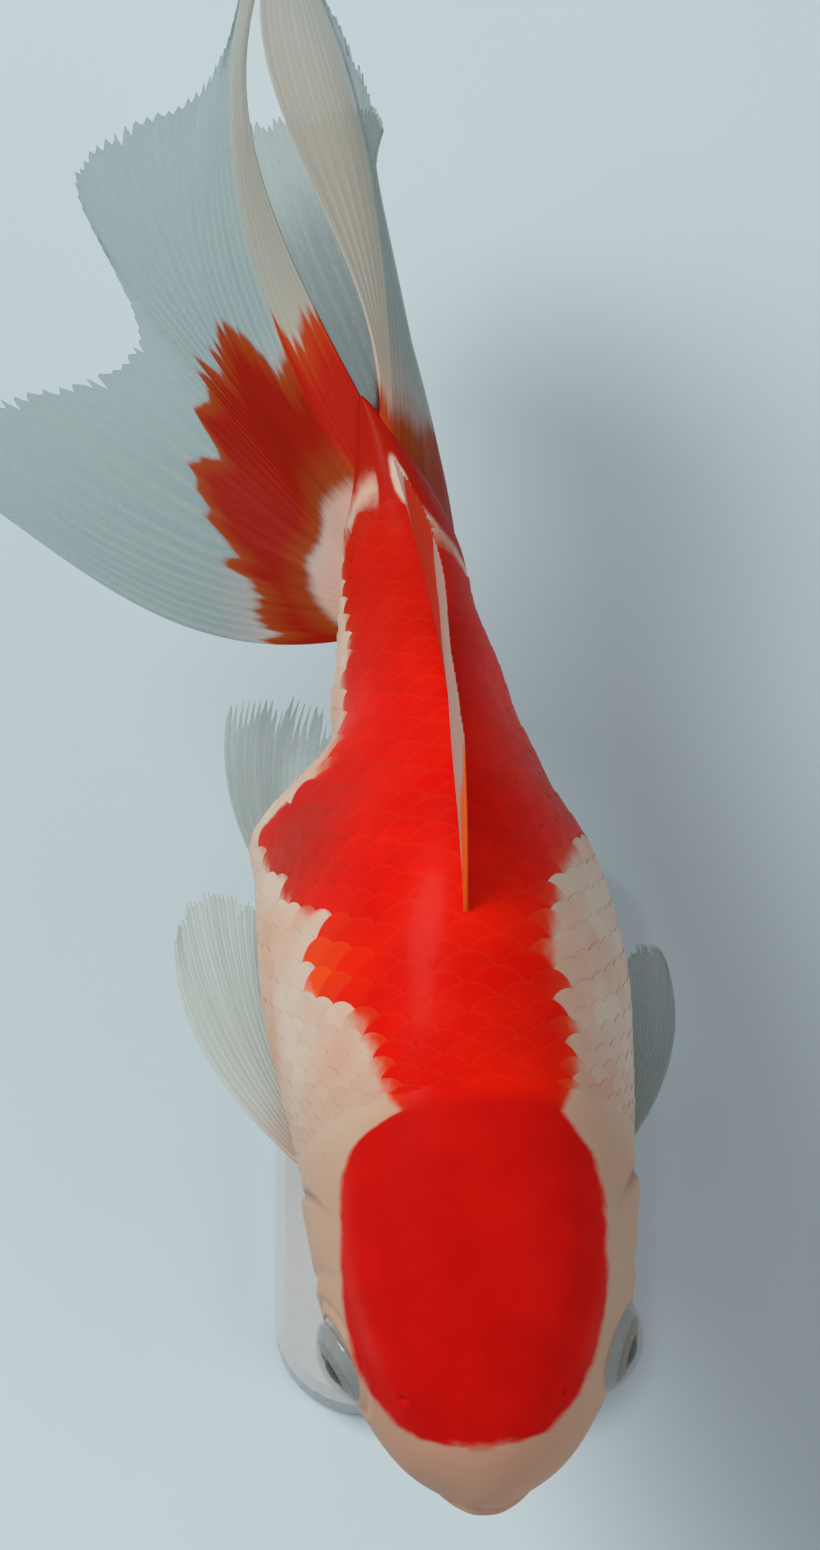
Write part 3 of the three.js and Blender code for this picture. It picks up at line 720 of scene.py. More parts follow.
def pore_tubes(spots, degrees):
    """1 along the middle of each scale of the lateral line, which carries a small tube."""
    x, _, z = scale_shape.T
    from_line = np.abs(degrees - np.where(degrees > 90, 180 - LATERAL_LINE, LATERAL_LINE))
    spacing = ROW_SPACING * spots[:, 2] / section(HALF_WIDTH, spots[:, 0]) * DEGREES_PER_RADIAN
    return (from_line < spacing * 0.5)[:, None] * hump(x[None], 0, 0.45) * smooth_step(z[None], -0.05, 0)


def wrapped_scales(spots, degrees):
    """Every vertex of these scales: its distance from the snout, angle, and height over the skin."""
    x, y, z = scale_shape.T
    turn = chance.normal(0, TURN_SPREAD, len(spots))[:, None]
    across = (x[None] * np.cos(turn) - y[None] * np.sin(turn)) * spots[:, 2:3]
    back = (y[None] * np.cos(turn) + x[None] * np.sin(turn)) * spots[:, 2:3]
    along = np.clip(spots[:, 0:1] + back, 0, BODY_LENGTH)
    angle = angle_at(along, spots[:, 1:2] + across)
    rise = (y[None] + SCALE_HALF_LENGTH) / (2 * SCALE_HALF_LENGTH)
    lift = ROOT_LIFT + (EDGE_LIFT - ROOT_LIFT) * rise + z[None]
    lift = lift - SIDE_DROOP * (x[None] / SCALE_HALF_WIDTH) ** 2
    lift = lift - ROOT_SINKS * (1 - smooth_step(rise, 0.0, 0.45))
    lift = lift + chance.normal(0, LIFT_SPREAD, len(spots))[:, None] * rise
    lift = lift + TUBE_RISE * pore_tubes(spots, degrees) * smooth_step(y[None], 0.4, 1.2)
    return along, angle, lift + tail_flare(along, np.degrees(angle))


# %% The coat of scales
SHARP_EDGE = math.radians(50)
TUFT = 0.0015
MIDDLE_OF_BACK = 90.5


def coat(name, chosen):
    """One joined mesh of wrapped scales at the chosen places."""
    spots, degrees = places[chosen], place_degrees[chosen]
    count, each = len(spots), len(scale_shape)
    along, angle, lift = wrapped_scales(spots, degrees)
    points = toward_fork(body_point(along, angle) + body_normal(along, angle) * lift[..., None], along)
    faces = np.array(scale_faces)[None] + (np.arange(count) * each)[:, None, None]
    mesh = bpy.data.meshes.new(name)
    lifted = (points.reshape(-1, 3) + [0, 0, AXIS_HEIGHT]) * MM
    mesh.from_pydata(lifted, [], faces.reshape(-1, 4).tolist())
    piece = bpy.data.objects.new(name, mesh)
    bpy.context.scene.collection.objects.link(piece)
    only(piece)
    bpy.ops.object.shade_smooth_by_angle(angle=SHARP_EDGE)
    middle_along, middle_degrees = np.repeat(spots[:, 0] + MIDDLE_OF_SCALE, each), np.repeat(degrees, each)
    keep_markings(piece, along.ravel(), np.degrees(angle).ravel(), middle_along, middle_degrees)
    tone = np.repeat(chance.uniform(-1, 1, count), each)
    disc = scale_shape[:, :2] / (SCALE_HALF_WIDTH, SCALE_HALF_LENGTH)
    keep_values(piece, tone=tone, rim=np.tile(np.hypot(disc[:, 0], disc[:, 1]), count), dark=0.0)
    corners = loop_vertices(piece)
    middle = map_place(spots[:, 0], degrees)[corners // each]
    write_map(piece, "OFBake", middle + disc[corners % each] * TUFT)
    write_map(piece, "face_of_scale", disc[corners % each])
    print(name, count, "scales,", 2 * len(mesh.polygons), "triangles")
    return piece


scales_right = coat("scales_right", place_degrees > MIDDLE_OF_BACK)
scales_left = coat("scales_left", place_degrees <= MIDDLE_OF_BACK)

# %% [markdown]
# ## The fins
# A fin is a thin skin stretched over bony rays, which fork toward the edge. It could be a flat sheet with
# rays painted on, but light passes a ray and a membrane differently, and the edge is frayed where rays run
# past the membrane. So each fin is a fine grid laid on a surface through a few rays. A modifier then gives
# it thickness, more on the rays than between them. Each ray below is four points from root to tip.

# %% The surface of a fin
RAY_STOPS = (0, 1 / 3, 2 / 3, 1.0)
ROOT_SLOPES = (-5.5, 9.0, -4.5, 1.0)
INTO_BACK = 1.6


def fin_surface(rays, across, out):
    """Points of a fin: a cubic curve along each ray, and a smooth one from ray to ray."""
    shown, hidden = np.maximum(out, 0), np.minimum(out, 0)
    weights = []
    for stop, slope in zip(RAY_STOPS, ROOT_SLOPES):
        others = [other for other in RAY_STOPS if other != stop]
        curve = np.prod([(shown - other) / (stop - other) for other in others], axis=0)
        weights.append(curve + slope * hidden)
    lines = np.einsum("im,rik->mrk", np.array(weights), np.asarray(rays, float))
    first = 2 * lines[:, :1] - lines[:, 1:2]
    last = 2 * lines[:, -1:] - lines[:, -2:-1]
    lines = np.concatenate([first, lines, last], axis=1)
    place = np.clip(across, 0, 1) * (lines.shape[1] - 3)
    i = np.minimum(place.astype(int), lines.shape[1] - 4)
    f = (place - i)[:, None]
    row = np.arange(len(place))
    a, b, c, d = (lines[row, i + k] for k in range(4))
    f2, f3 = f * f, f * f * f
    joined = b * (2 * f3 - 3 * f2 + 1) + c * (3 * f2 - 2 * f3)
    return joined + (c - a) / 2 * (f3 - 2 * f2 + f) + (d - b) / 2 * (f3 - f2)


def bowed(root, tip, bow):
    """A ray from root to tip that bows aside by this much at its middle."""
    root, tip, bow = (np.array(v, float) for v in (root, tip, bow))
    return [root * (1 - stop) + tip * stop + bow * 4 * stop * (1 - stop) for stop in RAY_STOPS]


def on_back(along):
    """The root of a ray of the back fin, a little under the skin."""
    return at_spine(along, 0.0, section(TOP, along) - INTO_BACK)


# %% Rays of every fin
FINS = {
    "tail_fin_right": [
        [(-4.8, 60.4, 7), (-17, 84.4, 11), (-23.4, 107.2, 13), (-19, 131.3, 14)],
        [(-9.6, 60, 5.5), (-21, 84, 8), (-25.4, 107.9, 9), (-23, 132.3, 10)],
        [(-10.3, 57.2, 4), (-24.8, 78.9, 2.5), (-30.2, 97.7, 2.5), (-29.3, 115.2, 4)],
        [(-10.5, 54.4, 1.5), (-25.2, 73.8, -1), (-37.5, 90.9, -2), (-45.5, 105.5, 0)],
        [(-10.3, 51.7, -1.5), (-21.6, 63.7, -3), (-30.6, 73.8, -4), (-38.1, 82.2, -4)],
        [(-9.9, 48.3, -4.5), (-28.8, 54.3, -7), (-45.1, 64, -9), (-60, 76.1, -9)],
        [(-9.1, 44.9, -6.5), (-28.7, 46.7, -10), (-44.7, 56.3, -12.5), (-60.9, 68.9, -14)],
    ],
    "tail_fin_left": [
        [(-8.2, 60.8, 7.4), (-10.5, 82.1, 15), (-19.3, 101.8, 21), (-20.6, 122.7, 25)],
        [(-6, 57, 8.8), (-7.2, 83.5, 11.5), (-10.6, 104.1, 15), (-17, 125.4, 18)],
        [(-3.6, 54, 9.2), (-4.6, 80.1, 5.5), (-7.7, 99.4, 5), (-11.3, 120.2, 4)],
        [(-1.6, 51.6, 7.8), (-3.1, 78, 0), (-7.3, 97.5, -2), (-7.6, 113, -4)],
        [(0.6, 49.4, 5), (-2.1, 76.3, -5), (-7.6, 97.7, -8), (-8.7, 119.9, -11)],
        [(1.8, 47.6, 0.5), (-3.2, 76.3, -10), (-11.2, 100.6, -15), (-17.5, 124.4, -20)],
        [(0.4, 46.4, -5), (-11.1, 75.7, -14), (-21.1, 101.5, -21), (-26.5, 125.3, -27)],
    ],
    "dorsal_fin": [
        bowed(on_back(59.5), (2, 13.2, 44), (0.3, -1.4, 0.6)),
        bowed(on_back(69), (0.4, 25, 40.5), (-0.3, -1, 0.6)),
        bowed(on_back(79), (-0.1, 36.5, 34.5), (-0.5, 0, 0.6)),
        bowed(on_back(89), (-2.3, 47, 28), (-0.5, 0, 0.6)),
        bowed(on_back(98), (-6, 55.9, 22), (0.2, 0, 0.4)),
    ],
    "pectoral_fin_right": [
        bowed((-14.6, -21.5, -12), (-32.3, 9.6, -17), (-4.6, 0, 0)),
        bowed((-14.4, -20.5, -13.2), (-31.2, 14.8, -19), (-3, 0, -0.5)),
        bowed((-14, -19.5, -14.4), (-27, 17.3, -21), (-2.5, 0, -1)),
        bowed((-13.6, -18.5, -15.6), (-23, 16, -23), (-2.5, 0, -1)),
        bowed((-13, -17.5, -16.8), (-20.5, 8, -25), (-3, 0, -1)),
    ],
    "pectoral_fin_left": [
        bowed((18.4, -21.5, -12), (27.4, 7.7, -21), (4, 0, 0)),
        bowed((18.2, -20.5, -13.2), (26.4, 10.8, -23), (3.4, 0, -0.5)),
        bowed((17.8, -19.5, -14.4), (24.4, 12, -25), (3, 0, -1)),
        bowed((17.4, -18.5, -15.6), (22.5, 10, -27), (2.8, 0, -1)),
        bowed((16.8, -17.5, -16.8), (20.5, 4, -28), (2.8, 0, -1)),
    ],
    "pelvic_fin_right": [
        bowed((-12.2, 8, -26), (-26.6, 46, -31), (-5.4, 0, 0)),
        bowed((-11.4, 9.5, -26.8), (-22.5, 48, -32.5), (-5, 0, -1)),
        bowed((-10.6, 11, -27.4), (-18, 48, -34), (-5, 0, -1.5)),
        bowed((-9.8, 12.5, -27.8), (-14, 46, -35), (-3, 0, -1.5)),
        bowed((-9, 14, -28), (-10.5, 38, -35), (-2, 0, -1)),
    ],
    "pelvic_fin_left": [
        bowed((5.6, 8, -28.6), (8, 43, -37), (4, 0, -1)),
        bowed((4.8, 9.5, -29), (5.5, 46, -39.5), (3, 0, -2)),
        bowed((4, 11, -29.2), (2.5, 46, -41.5), (2, 0, -2)),
        bowed((3.2, 12.5, -29.3), (0, 43.5, -42.5), (1, 0, -2)),
        bowed((2.4, 14, -29.2), (-1.4, 36, -41), (0, 0, -2)),
    ],
    "anal_fin_right": [
        bowed((-7.2, 31, -21.4), (-11.5, 50, -33), (-1, 0, -1)),
        bowed((-7.1, 33, -19.8), (-12, 54, -30), (-1.5, 0, -1)),
        bowed((-7, 35, -18), (-12, 55.5, -26), (-1.5, 0, -1)),
        bowed((-6.9, 37, -16.2), (-11, 54, -21), (-1, 0, -0.5)),
    ],
    "anal_fin_left": [
        bowed((-4.8, 31, -21.4), (-0.5, 49, -33), (1, 0, -1)),
        bowed((-4.7, 33, -19.8), (0, 53, -30), (1.5, 0, -1)),
        bowed((-4.6, 35, -18), (-0.5, 55, -26), (1.5, 0, -1)),
        bowed((-4.5, 37, -16.2), (-2, 54, -21), (1, 0, -0.5)),
    ],
}
print("fins:", len(FINS), "with", sum(len(rays) for rays in FINS.values()), "leading rays")

# %% [markdown]
# The red of the tail runs out along the rays in pointed tongues, and a white crescent crosses its root.
# Both edges are again short lists, here of place across the fin against the part of the ray's length. Each
# tongue's point is moved a little by its own ray.

# %% Markings of the fins
WHOLE_ROOT = [(0, -0.2), (1, -0.2)]
FIN_RED = {
    "tail_fin_right": {
        "from": [(0, -0.2), (0.12, -0.1), (0.17, 0.0), (0.33, 0.03), (0.55, 0.09), (0.74, 0.13),
                 (0.875, 0.07), (0.95, 0.03), (1, -0.05)],
        "to": [(0, 0.29), (0.12, 0.227), (0.154, 0.243), (0.178, 0.297), (0.19, 0.24), (0.25, 0.22),
               (0.264, 0.27), (0.3, 0.343), (0.355, 0.41), (0.408, 0.397), (0.474, 0.39), (0.602, 0.527),
               (0.662, 0.66), (0.674, 0.593), (0.69, 0.507), (0.71, 0.54), (0.721, 0.58), (0.743, 0.443),
               (0.776, 0.33), (0.851, 0.217), (1, 0.195)],
    },
    "tail_fin_left": {
        "from": [(0, -0.2), (0.2, -0.1), (0.25, 0.0), (0.45, 0.02), (0.75, 0.02), (1, 0.0)],
        "to": [(0, 0.14), (0.167, 0.12), (0.24, 0.13), (0.329, 0.147), (0.431, 0.18), (0.52, 0.22),
               (0.624, 0.26), (0.642, 0.2), (0.72, 0.26), (0.84, 0.38), (0.9, 0.43), (0.95, 0.35), (1, 0.3)],
    },
    "dorsal_fin": {
        "from": WHOLE_ROOT,
        "to": [(0, 0.95), (0.05, 0.6), (0.1, 0.14), (0.3, -0.05), (0.5, 0.0), (0.55, 0.3), (0.62, 1.05),
               (0.9, 1.1), (0.96, 0.75), (1, 0.6)],
    },
    "pelvic_fin_right": {"from": WHOLE_ROOT, "to": [(0, 0.22), (0.1, 0.08), (0.3, -0.1), (1, -0.3)]},
    "anal_fin_right": {"from": WHOLE_ROOT, "to": [(0, 0.25), (0.5, 0.15), (1, 0.2)]},
    "anal_fin_left": {"from": WHOLE_ROOT, "to": [(0, 0.2), (0.5, 0.25), (1, 0.15)]},
}
TONGUE, STRAY = 0.015, 0.035
CALM = ("tail_fin_left", "dorsal_fin")
NO_RED = -20.0


def fin_red(name, across, out, length, ray_jitter):
    """Millimetres inside the red of a fin, below zero outside it. On calm fins its edge is smoother."""
    if name not in FIN_RED:
        return np.full(len(across), NO_RED)
    calm = name in CALM
    strayed = across + (STRAY * waves(across * 3, out * 6, seed=4) if calm else 0)
    ray_jitter = ray_jitter * (0.4 if calm else 1)
    to_edge = edge_at(FIN_RED[name]["to"], strayed) + TONGUE * ray_jitter - out
    from_root = out - edge_at(FIN_RED[name]["from"], across) - 0.12 * TONGUE * ray_jitter
    return np.minimum(to_edge, from_root) * length


# %% [markdown]
# Every fin is built to the same plan, with its own count of rays, thickness at root and tip in millimetres,
# start below the skin and depth of fray. The map for its colours has two halves, one for each face, and a
# narrow margin for its edge.

# %% The plan of each fin
PLAN = ("rays", "rows", "root", "tip", "start", "fray")
BUILD = {
    "tail_fin_right": (44, 110, 1.9, 0.3, -0.05, 0.05),
    "tail_fin_left": (36, 110, 1.9, 0.3, -0.05, 0.05),
    "dorsal_fin": (19, 56, 1.1, 0.32, -0.06, 0.025),
    "pectoral_fin_right": (16, 70, 1.2, 0.28, -0.14, 0.05),
    "pectoral_fin_left": (16, 70, 1.2, 0.28, -0.14, 0.05),
    "pelvic_fin_right": (11, 70, 1.2, 0.28, -0.06, 0.13),
    "pelvic_fin_left": (11, 70, 1.2, 0.28, -0.06, 0.10),
    "anal_fin_right": (9, 50, 1.1, 0.28, -0.12, 0.06),
    "anal_fin_left": (9, 50, 1.1, 0.28, -0.12, 0.06),
}
BUILD = {name: dict(zip(PLAN, measures)) for name, measures in BUILD.items()}
# How much paler each paired fin is: partly its own pale colour, partly painted light for the light a thin
# membrane lets through; least on the shaded left pectoral.
MILKY_AND_BACKLIT = {
    "pectoral_fin_right": 1.0,
    "pelvic_fin_right": 0.6,
    "pectoral_fin_left": 0.35,
    "pelvic_fin_left": 0.6,
}
COLUMNS_PER_RAY = 8
FIRST_SEED = 11
print("rays in all:", sum(plan["rays"] for plan in BUILD.values()))

# %% Rays, forks and a frayed edge
RAY_WIDTH, FORK_WIDTH, FORK_SPREAD = 0.17, 0.12, 0.24
SHORT_RAYS = 0.30


def ray_ridges(phase, out):
    """1 on a ray and 0 between rays. Toward the edge each ray forks in two."""
    off = phase % 1 - 0.5
    fork = FORK_SPREAD * smooth_step(out, 0.30, 0.85)
    width = RAY_WIDTH + (FORK_WIDTH - RAY_WIDTH) * smooth_step(out, 0.3, 0.7)
    return np.clip(hump(off, fork, width) + hump(off, -fork, width), 0, 1)


def frayed(plan, phase, out, lengths, splits):
    """How far out each point reaches: some rays end early, and the film is notched between rays."""
    ray = np.floor(phase).astype(int).clip(0, plan["rays"] - 1)
    half = np.floor(phase * 2).astype(int)
    between = 1 - hump(np.abs(phase % 1 - 0.5), 0.24, 0.14)
    notch = between * (0.35 + 0.65 * np.clip(splits[half], 0, 2))
    shorter = plan["fray"] * (SHORT_RAYS * np.abs(lengths[ray]) + notch)
    return out * (1 - shorter * smooth_step(out, 0.55, 1.0))


# %% Ripples and thickness
RIPPLE, PUCKER, PROBE = 0.011, 0.018, 0.01
FIN_THICKNESS = 1.8


def fin_normal(rays, across, reach):
    """The direction straight out of the fin's surface."""
    before, after = np.clip(across - PROBE, 0, 1), np.clip(across + PROBE, 0, 1)
    side = fin_surface(rays, after, reach) - fin_surface(rays, before, reach)
    ahead = fin_surface(rays, across, reach + PROBE) - fin_surface(rays, across, reach - PROBE)
    normal = np.cross(side, ahead)
    return normal / np.maximum(np.linalg.norm(normal, axis=1, keepdims=True), 1e-9)


def rippled(across, out, phase, length, seed):
    """A broad ripple that grows toward the edge, and a narrow pucker from ray to ray."""
    ripple = RIPPLE * length * np.clip(out, 0, 1) ** 1.5 * waves(across * 9, out * 2.2, seed=seed)
    return ripple + PUCKER * smooth_step(out, 0.1, 0.6) * np.cos(2 * math.pi * phase)


def fin_thickness(plan, out, ridge):
    """A part of the greatest thickness: fleshy at the root, thin at the tip, and more on a ray."""
    web = 0.55 * plan["root"] * np.exp(-out / 0.13) + plan["tip"] * 0.55 * (1 - 0.4 * out)
    bone = ridge * plan["tip"] * (0.12 + 0.3 * smooth_step(out, 0.1, 0.5))
    return np.clip((web + bone) / FIN_THICKNESS, 0.05, 1)


# %% What a fin's material reads, and its map
STRIP_WIDTH = 0.18
FIN_MAP_EDGE, FIN_MAP_WIDTH, FIN_MAP_HEIGHT, RIM_SHIFT = 0.015, 0.47, 0.97, 0.006


def keep_fin_fields(fin, name, across, out, ridge, red):
    """Stores the fields that the fins' one material mixes its colours by."""
    strip = smooth_step(across, STRIP_WIDTH + 0.03, STRIP_WIDTH - 0.01) * name.startswith("tail")
    keep_values(fin, red=red, ray=ridge, out=out, across=across, strip=strip)
    keep_values(fin, fleshy=(name == "dorsal_fin"), calm=(name in CALM), milky=MILKY_AND_BACKLIT.get(name, 0.0))


def write_fin_map(fin, first_side):
    """One half of the map for each face of the fin, with a narrow margin for its edge."""
    across, out = read_values(fin, "across"), read_values(fin, "out")
    up = (out - out.min()) / (out.max() - out.min())
    corners = loop_vertices(fin)
    far_side = corners >= first_side
    starts = np.array([p.loop_start for p in fin.data.polygons])
    mixed = np.add.reduceat(far_side * 1, starts)
    rim = np.repeat((mixed > 0) & (mixed < 4), 4)
    column = np.where(far_side & ~rim, 0.5 + FIN_MAP_EDGE, FIN_MAP_EDGE) + FIN_MAP_WIDTH * across[corners]
    place = np.stack([column, FIN_MAP_EDGE + FIN_MAP_HEIGHT * up[corners]], -1)
    place += RIM_SHIFT * (rim & far_side)[:, None]
    write_map(fin, fin.data.uv_layers[0].name, place)
    fin.data.uv_layers[0].name = "OFBake"


# %% Making a fin
def give_thickness(fin, shares):
    """Makes the sheet solid, at each vertex this share of the greatest thickness."""
    group = fin.vertex_groups.new(name="thickness")
    for index, share in enumerate(shares):
        group.add([index], float(share), "REPLACE")
    thicken(fin, FIN_THICKNESS * MM, 0, group.name)
    bpy.ops.object.shade_smooth()
    fin.vertex_groups.clear()


def make_fin(name, seed):
    """A grid laid on the fin's rays, frayed, rippled and made solid."""
    plan, rays = BUILD[name], np.asarray(FINS[name], float)
    count = plan["rays"]
    columns = count * COLUMNS_PER_RAY
    bpy.ops.object.select_all(action="DESELECT")
    bpy.ops.mesh.primitive_grid_add(x_subdivisions=columns, y_subdivisions=plan["rows"], size=1)
    fin = bpy.context.object
    grid = read_points(fin)
    across, part = grid[:, 0] + 0.5, grid[:, 1] + 0.5
    out = plan["start"] + (1 - plan["start"]) * part
    phase = across * count
    own = np.random.default_rng(seed)
    lengths, tongues = own.normal(0, 1, count + 1), own.normal(0, 1, 2 * count + 1)
    reach = frayed(plan, phase, out, lengths, own.normal(0, 1, 2 * count + 1))
    length = float(np.linalg.norm(rays[:, -1] - rays[:, 0], axis=1).mean())
    stand_off = rippled(across, out, phase, length, seed)
    ridge = ray_ridges(phase, out)
    place_points(fin, fin_surface(rays, across, reach) + fin_normal(rays, across, reach) * stand_off[:, None])
    jitter = np.interp(across * 2 * count, np.arange(2 * count + 1), tongues)
    keep_fin_fields(fin, name, across, out, ridge, fin_red(name, across, out, length, jitter))
    give_thickness(fin, fin_thickness(plan, out, ridge))
    fin.name = fin.data.name = name + "_membrane"
    write_fin_map(fin, len(grid))
    print(fin.name, 2 * len(fin.data.polygons), "triangles, rays", count, "length", round(length, 1))
    return fin


fins = {name: make_fin(name, FIRST_SEED + i) for i, name in enumerate(BUILD)}

# %% [markdown]
# ## The eyes
# A fish's eye has no lids. A clear flat dome covers a metallic iris, and a round black lens bulges out
# through the pupil. A painted ball would lose the depth that shows from the side, so each eye is a ball
# with its front pressed in to an iris and a hole, a lens behind the hole, and a thin clear dome over both.

# %% Parts of an eye
DOME_RADIUS, DOME_APEX, DOME_ANGLE, DOME_THICKNESS = 6.8, 5.1, 60.0, 0.16
BALL_RADIUS, IRIS_ANGLE, PUPIL_RADIUS = 6.35, math.radians(37), 2.3
IRIS_EDGE, IRIS_PLANE = BALL_RADIUS * math.sin(IRIS_ANGLE), BALL_RADIUS * math.cos(IRIS_ANGLE)
PUPIL_DEPTH, IRIS_DOME, PUPIL_RIM = 1.2, 0.85, 0.07
LENS_RADIUS, LENS_FLATNESS, LENS_SHOWS = 2.4, 0.6, 1.05
# How each eye is turned: (side, degrees ahead, degrees up), and how golden its ball is.
EYE_LOOK = {"right": (-1, 30.0, 0.0), "left": (1, 20.0, 5.0)}
IRIS_GILT = {"right": 0.25, "left": 1.0}


def ball(name, segments, rings):
    """A smooth sphere with its poles on the line of sight."""
    bpy.ops.object.select_all(action="DESELECT")
    bpy.ops.mesh.primitive_uv_sphere_add(segments=segments, ring_count=rings, radius=1.0)
    piece = bpy.context.object
    piece.name = piece.data.name = name
    only(piece)
    bpy.ops.object.shade_smooth()
    return piece


def turn_into_place(piece, local, centre, axes):
    """Turns a part of the eye, whose front is its Z, to where the eye looks."""
    out, first, second = axes
    place_points(piece, centre + local[:, :1] * first + local[:, 1:2] * second + local[:, 2:] * out)


def make_eyeball(label, centre, axes):
    """The ball, its front pressed in to a domed iris, and the pupil pressed further in."""
    piece = ball("eye_ball_" + label, 96, 96)
    local = read_points(piece)
    angle = np.arccos(np.clip(local[:, 2], -1, 1))
    local = local * BALL_RADIUS
    radius = np.hypot(local[:, 0], local[:, 1])
    spread = smooth_step(angle, IRIS_ANGLE + 0.04, IRIS_ANGLE - 0.1)
    front = IRIS_PLANE + IRIS_DOME * (1 - (radius / IRIS_EDGE) ** 2)
    front += PUPIL_RIM * hump(radius, PUPIL_RADIUS + 0.3, 0.25)
    front -= PUPIL_DEPTH * smooth_step(radius, PUPIL_RADIUS + 0.06, PUPIL_RADIUS - 0.12)
    local[:, 2] = local[:, 2] * (1 - spread) + front * spread
    turn_into_place(piece, local, centre, axes)
    radius = np.where(angle < IRIS_ANGLE + 0.1, radius, IRIS_EDGE + angle)
    turn = np.arctan2(local[:, 1], local[:, 0])
    keep_values(piece, radius=radius, turn=turn, gilt=IRIS_GILT[label])
    return piece


def make_lens(label, centre, axes):
    """A flattened ball that stands a little out through the pupil."""
    piece = ball("eye_lens_" + label, 48, 32)
    local = read_points(piece) * LENS_RADIUS
    local[:, 2] = (local[:, 2] - LENS_RADIUS) * LENS_FLATNESS + IRIS_PLANE + LENS_SHOWS
    turn_into_place(piece, local, centre, axes)
    return piece


def delete_below(piece, height):
    """Deletes the vertices below a height. A new sphere is selected all over, so it's deselected first."""
    bpy.ops.object.mode_set(mode="EDIT")
    bpy.ops.mesh.select_mode(type="VERT")
    bpy.ops.mesh.select_all(action="DESELECT")
    bpy.ops.object.mode_set(mode="OBJECT")
    for vertex in piece.data.vertices:
        vertex.select = vertex.co.z < height
    bpy.ops.object.mode_set(mode="EDIT")
    bpy.ops.mesh.delete(type="VERT")
    bpy.ops.object.mode_set(mode="OBJECT")


def make_dome(label, centre, axes):
    """The cap of a sphere, given a thin wall."""
    piece = ball("eye_dome_" + label, 72, 60)
    delete_below(piece, math.cos(math.radians(DOME_ANGLE)))
    local = read_points(piece) * DOME_RADIUS
    from_axis = np.degrees(np.arccos(np.clip(local[:, 2] / DOME_RADIUS, -1, 1)))
    keep_values(piece, rim=from_axis / DOME_ANGLE)
    turn_into_place(piece, local, centre, axes)
    thicken(piece, DOME_THICKNESS * MM, -1)
    print(piece.name, len(piece.data.vertices), "vertices")
    return piece


eyes = []
for label, (side, ahead, upward) in EYE_LOOK.items():
    set_axes, look = eye_axes(side, EYE_SET_AHEAD, EYE_SET_UP), eye_axes(side, ahead, upward)
    centre = eye_centre(side) + set_axes[0] * (DOME_APEX - DOME_RADIUS)
    eyes.append((label, [make(label, centre, look) for make in (make_eyeball, make_lens, make_dome)]))
    print("eye", label, "looks", look[0].round(2).tolist())

# %% [markdown]
# ## Materials
# Every colour below is mixed by nodes from the fields stored on the meshes and from noise, so it is sharp
# at any size and the same on skin, scales and fins. Colours are written as they look on a screen and turned
# into the renderer's linear numbers by one small function.

# %% Node helpers
def tint(red, green, blue):
    """A colour as a screen shows it, 0 to 255, in the renderer's linear numbers."""
    shown = (red / 255, green / 255, blue / 255)
    linear = [v / 12.92 if v <= 0.04045 else ((v + 0.055) / 1.055) ** 2.4 for v in shown]
    return (*linear, 1.0)


def new_material(name):
    """A material with its node tree and its shader."""
    made = bpy.data.materials.new(name)
    made.use_nodes = True
    print("material:", name)
    return made, made.node_tree, made.node_tree.nodes["Principled BSDF"]


def add(tree, kind, sockets=(), output=0, **settings):
    """Adds a node, sets or links its inputs, and returns one of its outputs."""
    node = tree.nodes.new("ShaderNode" + kind)
    for key, value in settings.items():
        setattr(node, key, value)
    for key, value in dict(sockets).items():
        if isinstance(value, bpy.types.NodeSocket):
            tree.links.new(value, node.inputs[key])
        else:
            node.inputs[key].default_value = value
    return node.outputs[output]


def field(tree, name):
    """A field that was stored on the mesh."""
    return add(tree, "Attribute", output="Fac", attribute_name=name)


def own_space(tree):
    """The place of each point in the object's own space."""
    return add(tree, "TexCoord", output="Object")


def noise(tree, size, detail=3.0, rough=0.55, vector=None):
    """Noise with features of about this size in millimetres."""
    vector = vector or own_space(tree)
    values = {"Vector": vector, "Scale": 1 / (size * MM), "Detail": detail, "Roughness": rough}
    return add(tree, "TexNoise", values)


def calc(tree, operation, a, b=0.0, c=0.0):
    return add(tree, "Math", {0: a, 1: b, 2: c}, operation=operation)


def some_of(tree, name, share):
    """A stored field, weakened to this share."""
    return calc(tree, "MULTIPLY", field(tree, name), share)


def length_of(tree, vector):
    return add(tree, "VectorMath", {0: vector}, output="Value", operation="LENGTH")


def ramp(tree, value, low, high, to_low=0.0, to_high=1.0):
    """A soft step from one number to another as the value goes from low to high."""
    values = {"Value": value, 1: low, 2: high, 3: to_low, 4: to_high}
    return add(tree, "MapRange", values, interpolation_type="SMOOTHSTEP")


def blend(tree, share, first, second):
    """Two colours mixed, all of the second at a share of 1."""
    return add(tree, "Mix", {0: share, 6: first, 7: second}, output=2, data_type="RGBA")


def mix_shaders(tree, share, first, second, output):
    """Shows the first shader at a share of 0 and the second at 1."""
    mixed = add(tree, "MixShader", {0: share, 1: first, 2: second})
    tree.links.new(mixed, tree.nodes[output].inputs["Surface"])


def set_roughness(tree, shader, grain, low, high):
    """Roughness that follows a grain between two numbers."""
    tree.links.new(ramp(tree, grain, 0.3, 0.7, low, high), shader.inputs["Roughness"])


def set_bumps(tree, shader, height, strength, depth):
    """Bumps that follow a height, this many millimetres deep."""
    bump = add(tree, "Bump", {"Strength": strength, "Distance": depth * MM, "Height": height})
    tree.links.new(bump, shader.inputs["Normal"])


FAINT_GLOSS, FAINT_COAT_ROUGHNESS = 0.035, 0.2


